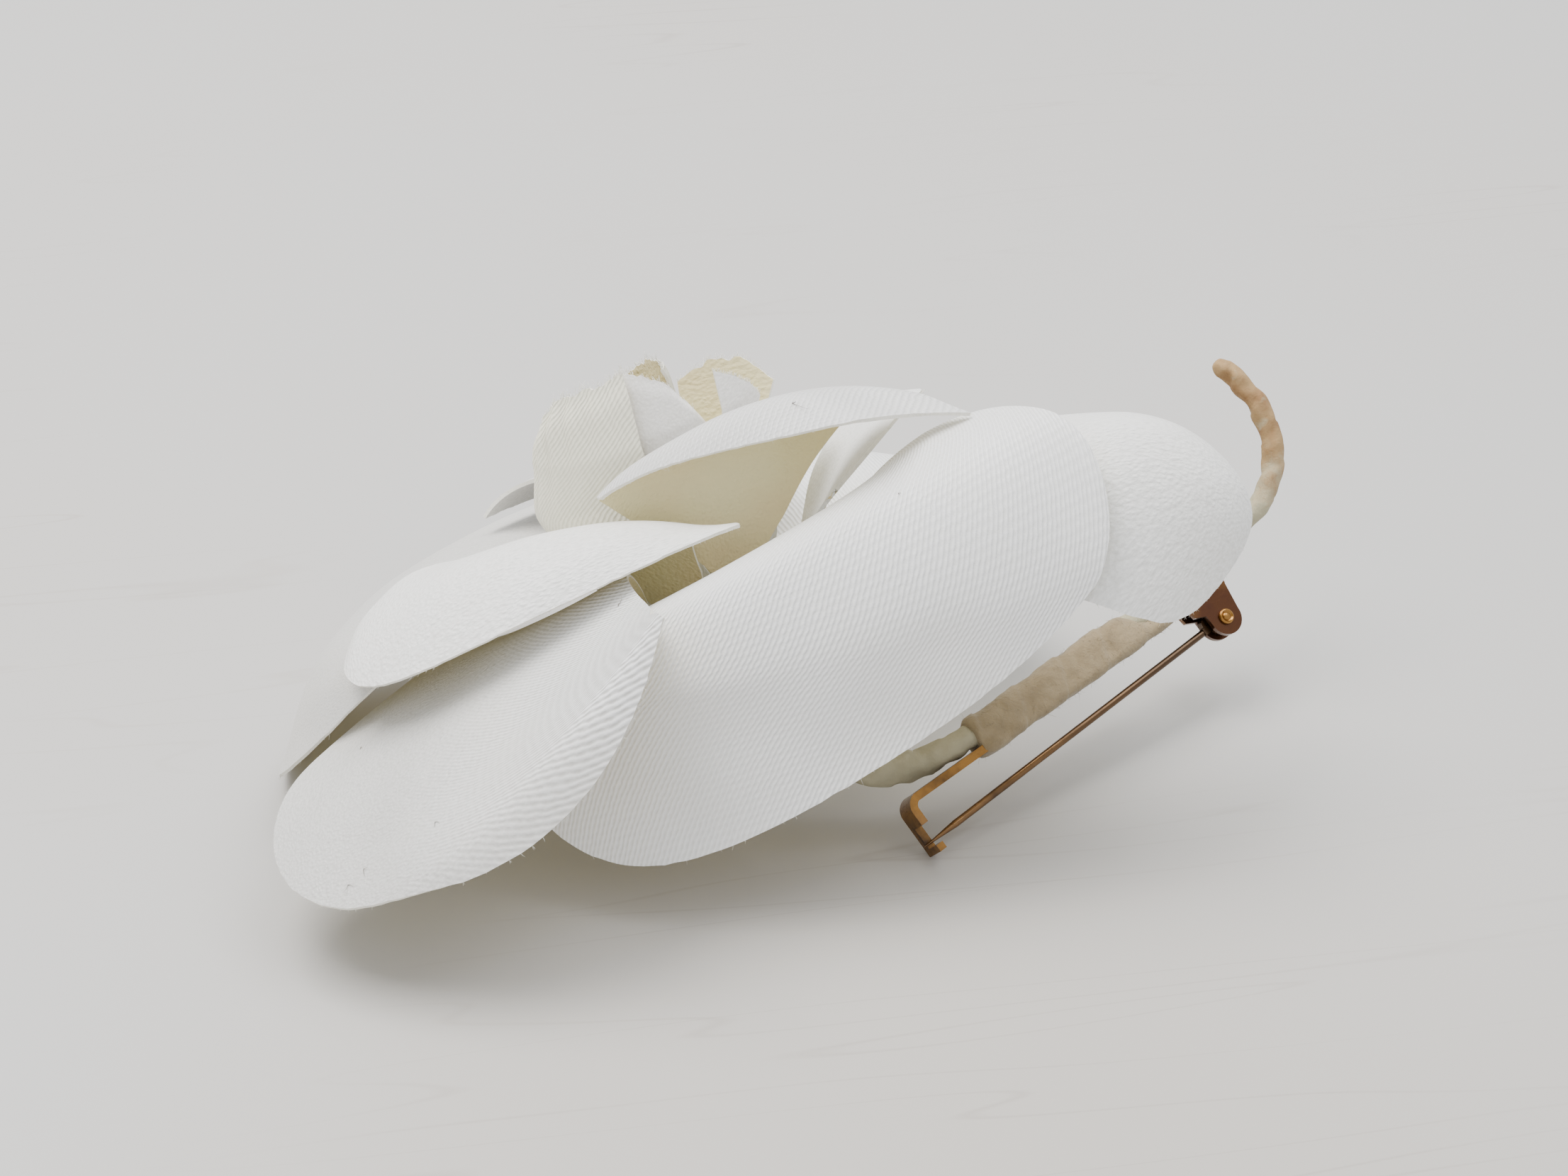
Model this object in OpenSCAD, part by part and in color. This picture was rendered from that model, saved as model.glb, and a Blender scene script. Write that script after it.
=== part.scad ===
// Corsage brooch: a satin flower on a taped wire stem, bound to a bar pin.
// Every piece is drawn in the flower's own frame, with +Z along the flower axis
// and -Y towards the front petals, and is then laid down as the brooch lies on a table.

/* [Cloth] */
// Thickness of a petal
petal_wall = 1; // [0.6:0.1:1.2]
// Half the width of a petal at its root
root_half = 2.6; // [2:0.1:3]
// Thickness of a bud wrap
bud_wall = 1; // [0.6:0.1:1.2]

/* [Stem] */
// Radius of the taped stem where the tape binds it to the bar
stem_bound_r = 1.1; // [0.9:0.1:1.2]
// Thickness of the binding tape
tape_wall = 0.5; // [0.4:0.1:0.7]

/* [Bar pin] */
// Length from the catch to the hinge rivet
pin_reach = 38; // [36:1:40]
// Distance from the pin wire up to the bar
bar_rise = 4; // [3.6:0.1:4.4]
// Thickness of the bar's strip
bar_thick = 0.75; // [0.6:0.05:0.9]
// Width of the bar's strip
bar_width = 2.4; // [2.2:0.1:2.6]
// Radius of the pin wire
wire_r = 0.35; // [0.3:0.05:0.4]
// Radius of the hinge rivet
rivet_r = 0.5; // [0.4:0.05:0.6]

/* [Lie] */
// Turn about X that lays the flower down
lie_x = -15.8; // [-19:0.1:-13]
// Turn about Y that lays the flower down
lie_y = -14.7; // [-18:0.1:-12]
// Height of the flower's base point above the table
lie_up = 14.63; // [10:0.01:18]
// Shift of the flower's base point along X
lie_right = -4.5; // [-10:0.1:10]
// Shift of the flower's base point along Y
lie_back = -7.1; // [-10:0.1:10]

/* [Hidden] */

round_fn = 48;
small_fn = 32;

// Steps from root to rim, and across, on a petal and on a bud wrap
petal_rows = 12;
petal_cols = 14;
wrap_rows = 8;
wrap_cols = 14;

// Columns of PETALS
P_AZ = 1;
P_RISE = 2;
P_ROOT = 3;
P_RUNS = 4;
P_HALF = 5;
P_EDGE = 6;
P_FOLD = 7;
P_SKEW = 8;
P_SIDES = 9;

// One row a petal: name, direction, rise at the root, [root radius, root height],
// [length, turn] of each run of the middle rib, [half width, where it is reached, how fast],
// [share of the length at the sides, roundness of the tip, one-sided length],
// [lean, bow, flare, dip, swirl], [one-sided reach, one-sided height], [first side, last side]
PETALS = [
  ["petal_front", -84, 55, [7, 2], [[11.5, -4], [18.5, -49], [11.5, -121], [12, 22]],
    [30.5, 0.65, 1.6], [0.65, 2.3, -0.17], [4, -2, 4.5, -4.5, 3], [2.5, 0.5], [-1, 1]],
  ["petal_left", -157, 47, [7, 1.8], [[14, -6], [10, -49], [31, 4], [1, -29]],
    [22, 0.8, 1.6], [0.78, 2.2, 0.15], [2.25, -2.5, -4.5, 8.5, 38], [-6, 7.5], [-1, 0.9]],
  ["petal_far_left", -203, 58, [7, 2], [[7.5, 4], [10.5, -49], [27, -70], [6, 7]],
    [30, 0.44, 4], [0.44, 1.8, 0.15], [0.5, -1, -3, 1.5, 8], [-6.5, 8], [-1, 0.9]],
  ["petal_right", -46, 46, [7, 1.8], [[13.5, -13], [19, -38], [15.5, -100], [3, 0]],
    [13, 0.51, 1.6], [0.51, 2.2, -0.11], [2.5, 0, -3.5, -6, 24], [1.5, -1], [-1, 1]],
  ["petal_back", 68, 33, [7, 2], [[10.5, 0], [9, -41], [16, -68], [3.5, 0]],
    [21, 0.85, 1.6], [0.85, 2, 0], [3, 0, 0, -4, 1], [0, -1], [-1, 1]],
  ["inner_front", -87, 77, [3.6, 6], [[11.5, -7], [7, -17], [12.5, -64], [5, 0]],
    [16.5, 0.67, 2], [0.67, 1.5, 0.23], [0.25, -4, 8, -2.5, 15], [5.5, 1.5], [-0.75, 0.9]],
  ["inner_left", -134, 75, [5.8, 5.2], [[8.5, -8], [14.5, -60], [16.5, -34]],
    [20, 0.93, 2.4], [0.93, 1.8, -0.23], [1.25, -5.5, -3.5, 4.5, 5], [-1, -0.7], [-1, 1]],
  ["inner_far_left", -172, 62, [4.7, 5.6], [[11, 5], [5, -36], [14, -69]],
    [32.5, 0.89, 1.6], [0.89, 2.4, 0], [3.5, 0, -1, 1.5, -10], [5.5, 3.3], [-1, -0.35]],
  ["inner_right", 12, 59, [4.7, 5.3], [[8, -7], [7.5, -22], [6.5, -50]],
    [12, 0.61, 2], [0.61, 2.1, 0.1], [-1, -1.5, 1, 0.5, 3], [0, -1.5], [-1, 0.3]],
  ["inner_back", 63, 83, [4.7, 5.3], [[6.5, 2], [4, -25], [5, -50]],
    [18, 0.64, 2], [0.64, 2.2, -0.2], [-1.5, 0, -1, -0.5, -3], [-1, -0.5], [-0.6, 0.7]]
];

// Length over which a petal's sides spread from its root, share of its length over which it folds,
// how fast its one-sided reach grows, and the least radius that its width is laid round
petal_spread = 6;
fold_share = 0.6;
skew_growth = 1.5;
least_round = 8;

// Direction and place of a far point in front of the flower, the depth where the pressing starts,
// how softly, and what it keeps
PRESS_WAY = [0, -0.94, 0.342];
PRESS_EYE = [3.8, -251.9, 97.4];
press_from = 2;
press_blend = 5;
press_keep = 0.35;

// Rolled bud, from its foot to its mouth: height, centre x, centre y, half width, half depth
BUD_SECTIONS = [
  [7.6, -1.4, -0.6, 3.2, 1.8],
  [11, -2.6, -0.5, 5, 2.6],
  [15, -4, -0.3, 6.6, 3.2],
  [19, -4.5, -0.2, 7.4, 4.2],
  [24, -4.6, -1.3, 8.2, 5.7],
  [31, -4, -2, 7.6, 6]
];

// One row a wrap: name, first and last angle round the bud, how far inside the section it starts
// and ends (outside, growing towards its top edge, where it is below zero), height of its foot,
// and of its top edge at the first side, a third on, two thirds on and at the last side
WRAPS = [
  ["bud_outer", 110, 275, 0, 0, 7.6, [26, 26, 29.5, 30.5]],
  ["bud_middle", 239, 350, 3.1, 1.2, 13, [28, 30.4, 28, 22.5]],
  ["bud_core", -20, 150, 3.5, 4.2, 20.5, [28.6, 29.4, 28.2, 26.5]],
  ["bud_fold", 336, 371, -0.9, -3.6, 15, [27.7, 26.4, 24.9, 23]],
  ["bud_flap", 17, 64, -5.6, -3.4, 12, [23.4, 25.6, 25.8, 24.6]]
];
// Most of the bud's half depth that a wrap may sit inside it
wrap_held = 0.72;

// Place and turn of the bar pin: +X runs from the catch to the hinge rivet, +Z from the pin to the bar
BAR_AT = [9.2, -7.3, -18.5];
BAR_TURN = [-28, -5, 31];
// The bar leans towards the pin at its hinge end
bar_lean = 1.5;

// Tape on the bar: where it starts, and where it ends and the stem leaves the bar
tape_from = 9.2;
tape_split = 30.5;
// Space between tape and what it binds, and between stem and bar
tape_gap = 0.15;
bound_gap = 0.1;
// Height of the stem's rise past the tape, and the length that it takes
stem_rise = 0.8;
stem_rise_run = 3.5;

// Inner bend of the bar at the catch, the catch's end below the pin, its shoulder above the pin,
// width of its neck beside the pin's notch, and the notch's space
bar_bend = 1;
catch_drop = 1.1;
catch_shoulder = 1.7;
catch_neck = 0.8;
notch_gap = 0.08;
// Wall and round end of the ears, their far end along the bar, and how far their front edge,
// its shoulder and its neck lie before the rivet
ear_wall = 0.5;
ear_r = 1.7;
ear_top = 40.2;
ear_front = 3;
EAR_SHOULDER = [-2.8, 1.6];
EAR_NECK = [-1.7, 1.1];
// Eye of the pin wire, its heel behind the rivet, and the flat shank between eye and wire
eye_r = 1.25;
eye_thick = 0.8;
heel_r = 0.7;
HEEL_AT = [-1.5, 0.5];
shank_from = -2.4;
shank_long = 1.6;
// Sharpened end of the pin wire, past the catch and back to its full thickness
point_from = -0.9;
point_to = 3;
point_r = 0.05;
// Running spaces round the rivet, and its heads
rivet_gap = 0.03;
eye_gap = 0.05;
head_r = 0.75;
head_thick = 0.3;
head_gap = 0.03;

// Stem before and after the bar, in the flower's frame: x, y, z, radius
STEM_ROOT = [
  [0, 1.5, -2.3, 1.6],
  [0.3, 0.6, -4.9, 1.65],
  [2, -0.8, -8.8, 1.7],
  [5.6, -1.9, -12, 1.7],
  [10.2, -1.7, -13.4, 1.4]
];
STEM_TAIL = [
  [39.5, 14, -8.6, 1],
  [44.2, 15.8, -8.6, 1],
  [48, 16.6, -7.6, 1],
  [50.5, 17.6, -5.3, 1],
  [51.7, 18.7, -2.3, 1],
  [51.5, 19.5, 1.2, 1],
  [50.2, 20.2, 4.2, 0.95],
  [48.8, 20.5, 6.4, 0.85]
];
stem_parts = 3;
bound_rows = 5;
stem_sides = 10;
base_sides = 20;

// Half of the flower's base, from the foot up: radius, height
BASE_OUTLINE = [
  [0.1, -0.6], [4, -0.6], [5.4, 0.6], [5.4, 2.6], [4.3, 4.4], [3.3, 5], [2.3, 5.6], [1.5, 6.7], [0.1, 6.7]
];

function sum(v, i = 0) = i < len(v) ? v[i] + sum(v, i + 1) : 0;
function smooth(x) = let (c = max(0, min(1, x))) c * c * (3 - 2 * c);

// Middle rib of a petal: [radius, height, rise] after a length s
function rib(at, rise, runs, s, i = 0) =
  let (
    run = runs[i][0],
    turn = runs[i][1],
    last = i == len(runs) - 1,
    d = last || s <= run ? s : run,
    a = rise + turn * d / run,
    k = turn / run * PI / 180,
    step = abs(turn) < 0.01
      ? d * [cos(rise), sin(rise)]
      : [(sin(a) - sin(rise)) / k, (cos(rise) - cos(a)) / k]
  )
  last || s <= run ? [at[0] + step[0], at[1] + step[1], a] : rib(at + step, a, runs, s - run, i + 1);

// The flower was pressed from the front: depth towards a far point shrinks past the pressed plane
function depth(v) = PRESS_WAY * v;
function pressed(v) =
  let (
    z = depth(v),
    cut = (1 - press_keep) * press_blend * ln(1 + exp((z - press_from) / press_blend))
  )
  v - (PRESS_EYE - v) * cut / (depth(PRESS_EYE) - z);

// Point of a petal at a length s from its root and a place t across it, -1 to 1
function petal_point(p, s, t) =
  let (
    reach = sum([for (run = p[P_RUNS]) run[0]]),
    q = s / reach,
    far = pow(q, skew_growth),
    c = rib(p[P_ROOT], p[P_RISE], p[P_RUNS], s),
    fold = p[P_FOLD],
    skew = p[P_SKEW],
    lift = fold[0] * t * (1 - exp(-s / petal_spread)) + fold[1] * t * t * smooth(q / fold_share),
    r = c[0] - sin(c[2]) * lift + (fold[2] * t * t + skew[0] * t) * far,
    h = c[1] + cos(c[2]) * lift + (fold[3] * t * t + skew[1] * t) * far,
    grow = pow(sin(90 * min(1, q / p[P_HALF][1])), p[P_HALF][2]),
    half = root_half + (p[P_HALF][0] - root_half) * grow,
    az = p[P_AZ] + t * half / max(r, least_round) * 180 / PI + fold[4] * q
  )
  pressed([r * cos(az), r * sin(az), h]);

// Length of a petal at a place t across it
function petal_length(p, t) =
  let (
    reach = sum([for (run = p[P_RUNS]) run[0]]),
    side = p[P_EDGE][0],
    tip = p[P_EDGE][1]
  )
  reach * (side + (1 - side) * pow(max(0, 1 - pow(abs(t), tip)), 1 / tip)) * (1 + p[P_EDGE][2] * t);

function petal_grid(p) = [
  for (i = [0:petal_rows]) [
    for (j = [0:petal_cols])
      let (
        sides = p[P_SIDES],
        t = sides[0] + (sides[1] - sides[0]) * (sin(180 * j / petal_cols - 90) + 1) / 2
      )
      petal_point(p, petal_length(p, t) * i / petal_rows, t)
  ]
];

// Section of the bud at a height: value in a given column
function bud_at(h, column) = lookup(h, [for (row = BUD_SECTIONS) [row[0], row[column]]]);

function wrap_point(w, u, v) =
  let (
    a = w[1] + (w[2] - w[1]) * u,
    inset = w[3] + (w[4] - w[3]) * u,
    top = lookup(3 * u, [for (i = [0:3]) [i, w[6][i]]]),
    h = w[5] + (top - w[5]) * v,
    held = inset < 0 ? inset * v : min(inset, wrap_held * bud_at(h, 4))
  )
  pressed([
    bud_at(h, 1) + (bud_at(h, 3) - held) * cos(a),
    bud_at(h, 2) + (bud_at(h, 4) - held) * sin(a),
    h
  ]);

function wrap_grid(w) = [
  for (i = [0:wrap_rows]) [for (j = [0:wrap_cols]) wrap_point(w, j / wrap_cols, i / wrap_rows)]
];

// Normal of a grid at row i and column j, from its neighbours
function grid_normal(g, i, j) =
  let (
    along = g[min(i + 1, len(g) - 1)][j] - g[max(i - 1, 0)][j],
    across = g[i][min(j + 1, len(g[0]) - 1)] - g[i][max(j - 1, 0)],
    n = cross(along, across)
  )
  n / norm(n);

// Closed sheet of a given wall, half of it on each side of a grid of points
module sheet(g, wall) {
  rows = len(g);
  cols = len(g[0]);
  count = rows * cols;
  upper = [
    for (i = [0:rows - 1]) for (j = [0:cols - 1]) g[i][j] + grid_normal(g, i, j) * wall / 2
  ];
  lower = [
    for (i = [0:rows - 1]) for (j = [0:cols - 1]) g[i][j] - grid_normal(g, i, j) * wall / 2
  ];
  cells = [for (i = [0:rows - 2]) for (j = [0:cols - 2]) i * cols + j];
  rim = concat(
    [for (j = [0:cols - 2]) j],
    [for (i = [0:rows - 2]) i * cols + cols - 1],
    [for (j = [cols - 1:-1:1]) (rows - 1) * cols + j],
    [for (i = [rows - 1:-1:1]) i * cols]
  );
  turns = len(rim);
  faces = concat(
    [for (c = cells) [c, c + 1, c + cols + 1]],
    [for (c = cells) [c, c + cols + 1, c + cols]],
    [for (c = cells) [count + c, count + c + cols + 1, count + c + 1]],
    [for (c = cells) [count + c, count + c + cols, count + c + cols + 1]],
    [for (k = [0:turns - 1]) [rim[k], count + rim[k], rim[(k + 1) % turns]]],
    [for (k = [0:turns - 1]) [rim[(k + 1) % turns], count + rim[k], count + rim[(k + 1) % turns]]]
  );
  polyhedron(concat(upper, lower), faces);
}

function turn_x(v, a) = [v[0], v[1] * cos(a) - v[2] * sin(a), v[1] * sin(a) + v[2] * cos(a)];
function turn_y(v, a) = [v[0] * cos(a) + v[2] * sin(a), v[1], v[2] * cos(a) - v[0] * sin(a)];
function turn_z(v, a) = [v[0] * cos(a) - v[1] * sin(a), v[0] * sin(a) + v[1] * cos(a), v[2]];

// A place on the leaning bar, carried to the flower's frame
function from_bar(v) =
  let (leant = turn_y(v, bar_lean) + [0, 0, bar_rise])
  BAR_AT + turn_z(turn_y(turn_x(leant, BAR_TURN[0]), BAR_TURN[1]), BAR_TURN[2]);

stem_up = bar_thick / 2 + bound_gap + stem_bound_r;
STEM_ROUTE = concat(
  STEM_ROOT,
  [for (k = [0:bound_rows])
    concat(from_bar([tape_from + (tape_split - tape_from) * k / bound_rows, 0, stem_up]), stem_bound_r)],
  [concat(from_bar([tape_split + stem_rise_run, 0, stem_up + stem_rise]), stem_bound_r)],
  STEM_TAIL
);

// Smooth curve through four rows, from the second to the third
function blend(a, b, c, d, u) =
  0.5 * (2 * b + (c - a) * u + (2 * a - 5 * b + 4 * c - d) * u * u + (3 * b - a - 3 * c + d) * u * u * u);

function route_rings(rows) =
  let (n = len(rows))
  concat(
    [for (i = [0:n - 2]) for (k = [0:stem_parts - 1])
      blend(rows[max(i - 1, 0)], rows[i], rows[i + 1], rows[min(i + 2, n - 1)], k / stem_parts)],
    [rows[n - 1]]
  );

function middle(row) = [row[0], row[1], row[2]];

// Faces of a closed skin over n rings of points
function ring_faces(n, sides) = concat(
  [[for (j = [0:sides - 1]) j]],
  [for (i = [0:n - 2]) for (j = [0:sides - 1])
    [i * sides + j, (i + 1) * sides + (j + 1) % sides, i * sides + (j + 1) % sides]],
  [for (i = [0:n - 2]) for (j = [0:sides - 1])
    [i * sides + j, (i + 1) * sides + j, (i + 1) * sides + (j + 1) % sides]],
  [[for (j = [sides - 1:-1:0]) (n - 1) * sides + j]]
);

// Closed tube along rows of x, y, z and radius
module tube(rows, sides) {
  n = len(rows);
  points = [
    for (i = [0:n - 1])
      let (
        way = middle(rows[min(i + 1, n - 1)]) - middle(rows[max(i - 1, 0)]),
        side = cross(way, [0.2, 1, 0.1]),
        a = side / norm(side),
        up = cross(a, way),
        b = up / norm(up)
      )
      for (j = [0:sides - 1])
        middle(rows[i]) + rows[i][3] * (a * cos(360 * j / sides) - b * sin(360 * j / sides))
  ];
  polyhedron(points, ring_faces(n, sides));
}

// Lays a piece of the flower down as the brooch lies
module laid() {
  translate([lie_right, lie_back, lie_up]) rotate([lie_x, lie_y, 0]) children();
}

module petal(name) {
  p = PETALS[search([name], PETALS)[0]];
  color("white") laid() sheet(petal_grid(p), petal_wall);
}

module wrap(name) {
  w = WRAPS[search([name], WRAPS)[0]];
  color("ivory") laid() sheet(wrap_grid(w), bud_wall);
}

// The bar pin's frame: origin where the closed pin wire meets the catch
module on_pin() {
  laid() translate(BAR_AT) rotate(BAR_TURN) children();
}

// The leaning bar's frame: origin where the bar's middle line meets the catch
module on_bar() {
  on_pin() translate([0, 0, bar_rise]) rotate([0, bar_lean, 0]) children();
}

// Stands a flat outline, drawn along the pin and up, across the pin
module across(depth) {
  translate([0, depth / 2, 0]) rotate([90, 0, 0]) linear_extrude(depth) children();
}

module flower_base() {
  n = len(BASE_OUTLINE);
  points = [
    for (at = BASE_OUTLINE) for (j = [0:base_sides - 1])
      pressed([at[0] * cos(360 * j / base_sides), at[0] * sin(360 * j / base_sides), at[1]])
  ];
  color("wheat") laid() polyhedron(points, ring_faces(n, base_sides));
}

module stem() {
  color("tan") laid() tube(route_rings(STEM_ROUTE), stem_sides);
}

// Outline round the bar, and round the stem on it, with a margin
module bound_outline(margin, with_stem) {
  hull() {
    for (y = [-1, 1]) {
      translate([y * (bar_width / 2 - 0.3), 0]) circle(bar_thick / 2 + margin, $fn = small_fn);
    }
    if (with_stem) translate([0, stem_up]) circle(stem_bound_r + margin, $fn = small_fn);
  }
}

module tape_length(from, to, with_stem) {
  translate([from, 0, 0]) rotate([90, 0, 90]) linear_extrude(to - from) {
    difference() {
      bound_outline(tape_gap + tape_wall, with_stem);
      bound_outline(tape_gap, with_stem);
    }
  }
}

module tape() {
  color("burlywood") on_bar() {
    tape_length(tape_from, tape_split, true);
  }
}

module catch_outline() {
  span = 2 * (bar_bend + bar_thick);
  difference() {
    circle(bar_bend + bar_thick / 2, $fn = small_fn);
    circle(bar_bend - bar_thick / 2, $fn = small_fn);
    translate([0, -span / 2]) square(span);
    translate([-span / 2, -span]) square(span);
  }
}

module bar() {
  end_z = bar_rise - (pin_reach - ear_front / 2) * tan(bar_lean);
  color("darkgoldenrod") {
    on_bar() {
      translate([bar_bend, -bar_width / 2, -bar_thick / 2]) {
        cube([ear_top - bar_bend, bar_width, bar_thick]);
      }
    }
    on_pin() {
      difference() {
        translate([-bar_thick / 2, -bar_width / 2, -catch_drop]) {
          cube([bar_thick, bar_width, bar_rise - bar_bend + catch_drop]);
        }
        translate([-bar_thick, -bar_width, -wire_r - notch_gap]) {
          cube([2 * bar_thick, 1.5 * bar_width - catch_neck, catch_shoulder + wire_r + notch_gap]);
        }
      }
      translate([bar_bend, 0, bar_rise - bar_bend]) across(bar_width) catch_outline();
      for (side = [-1, 1]) {
        translate([0, side * (bar_width - ear_wall) / 2, 0]) across(ear_wall) ear_outline(end_z);
      }
    }
  }
}

module ear_outline(end_z) {
  difference() {
    union() {
      translate([pin_reach, 0]) circle(ear_r, $fn = small_fn);
      polygon([
        [pin_reach - ear_r, 0],
        [pin_reach + EAR_NECK[0], EAR_NECK[1]],
        [pin_reach + EAR_SHOULDER[0], EAR_SHOULDER[1]],
        [pin_reach - ear_front, end_z],
        [ear_top, end_z],
        [pin_reach + ear_r, 0]
      ]);
    }
    translate([pin_reach, 0]) circle(rivet_r + rivet_gap, $fn = small_fn);
  }
}

module rivet() {
  color("goldenrod") on_pin() translate([pin_reach, 0, 0]) rotate([90, 0, 0]) {
    cylinder(bar_width + head_thick, r = rivet_r, center = true, $fn = small_fn);
    for (side = [-1, 1]) {
      translate([0, 0, side * (bar_width / 2 + head_gap + head_thick / 2)]) {
        cylinder(head_thick, r = head_r, center = true, $fn = small_fn);
      }
    }
  }
}

module pin() {
  color("saddlebrown") on_pin() {
    difference() {
      union() {
        translate([pin_reach, 0, 0]) across(eye_thick) circle(eye_r, $fn = small_fn);
        translate([pin_reach + HEEL_AT[0], 0, HEEL_AT[1]]) across(eye_thick) circle(heel_r, $fn = small_fn);
        translate([pin_reach + shank_from, -eye_thick / 2, -wire_r]) {
          cube([shank_long, eye_thick, 2 * wire_r]);
        }
      }
      translate([pin_reach, 0, 0]) across(2 * eye_thick) circle(rivet_r + eye_gap, $fn = small_fn);
    }
    translate([point_to, 0, 0]) rotate([0, 90, 0]) {
      cylinder(pin_reach + shank_from - point_to + wire_r, r = wire_r, $fn = small_fn);
    }
    translate([point_from, 0, 0]) rotate([0, 90, 0]) {
      cylinder(point_to - point_from, r1 = point_r, r2 = wire_r, $fn = small_fn);
    }
  }
}

petal("petal_front");  // petal_front
petal("petal_left");  // petal_left
petal("petal_far_left");  // petal_far_left
petal("petal_right");  // petal_right
petal("petal_back");  // petal_back
petal("inner_front");  // inner_front
petal("inner_left");  // inner_left
petal("inner_far_left");  // inner_far_left
petal("inner_right");  // inner_right
petal("inner_back");  // inner_back
wrap("bud_outer");  // bud_outer
wrap("bud_middle");  // bud_middle
wrap("bud_core");  // bud_core
wrap("bud_fold");  // bud_fold
wrap("bud_flap");  // bud_flap
flower_base();
stem();
tape();
bar();
rivet();
pin();
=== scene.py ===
"""A white satin flower on a taped wire stem, bound to a gilt bar pin, lying on a pale table."""

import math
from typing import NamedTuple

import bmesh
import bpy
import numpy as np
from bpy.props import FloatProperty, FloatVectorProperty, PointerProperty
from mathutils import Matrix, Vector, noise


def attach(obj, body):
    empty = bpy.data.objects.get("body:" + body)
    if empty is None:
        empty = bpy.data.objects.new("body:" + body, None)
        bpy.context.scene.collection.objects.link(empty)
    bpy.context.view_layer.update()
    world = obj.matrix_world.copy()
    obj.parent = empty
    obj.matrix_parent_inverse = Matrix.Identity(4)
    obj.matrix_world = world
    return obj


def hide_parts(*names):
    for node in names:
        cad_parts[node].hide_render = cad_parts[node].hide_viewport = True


bl_info = {
    "name": "Satin flower brooch",
    "version": (1, 0, 0),
    "blender": (4, 5, 0),
    "location": "View3D > Sidebar > Brooch",
    "description": "Dresses the packed brooch: petals, rolled bud, stem, tape and bar pin",
    "category": "Object",
}

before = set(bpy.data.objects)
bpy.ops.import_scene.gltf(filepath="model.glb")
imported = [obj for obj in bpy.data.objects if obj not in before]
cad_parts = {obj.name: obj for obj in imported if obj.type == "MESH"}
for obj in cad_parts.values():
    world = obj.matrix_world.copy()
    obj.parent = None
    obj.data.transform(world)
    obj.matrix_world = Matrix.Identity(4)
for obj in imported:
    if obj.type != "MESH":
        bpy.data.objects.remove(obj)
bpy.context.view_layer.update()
MM = 0.001
TINY = 1e-9

# The brooch's lie: turns about X and Y in degrees, and its base point above the table in mm
LIE_X = -15.8
LIE_Y = -14.7
LIE_AT = np.array((-4.5, -7.1, 14.63))

# Far point in front of the flower, the direction to it, the depth where the pressing starts,
# how softly, and what it keeps, in mm
PRESS_EYE = np.array((3.8, -251.9, 97.4))
PRESS_WAY = np.array((0, -0.94, 0.342))
PRESS_FROM = 2
PRESS_BLEND = 5
PRESS_KEEP = 0.35

# Half width of a petal at its root, and the lengths and shares that shape its sides, in mm
ROOT_HALF = 2.6
PETAL_SPREAD = 6
FOLD_SHARE = 0.6
SKEW_GROWTH = 1.5
LEAST_ROUND = 8
PETAL_ROWS = 60
PETAL_COLS = 84


class Petal(NamedTuple):
    """One petal in the flower's own frame, in mm and degrees.

    root is the rib's first radius and height, and runs are its lengths and their bends.
    half is the greatest half width, where it is reached and how fast. edge is the length at the
    sides, the roundness of the tip and its slant. fold is the lean, bow, flare, dip and swirl,
    skew moves one side out and up, and sides cuts the width. tone is painted shade: it dims the
    satin of the petals that lie turned from the light.
    """

    node: str
    az: float
    rise: float
    root: tuple
    runs: tuple
    half: tuple
    edge: tuple
    fold: tuple
    skew: tuple
    sides: tuple
    weave: str
    turn: float
    tone: tuple


# The last numbers of each petal are its tone, painted shade: below 1 on the petals turned from the light
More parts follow.
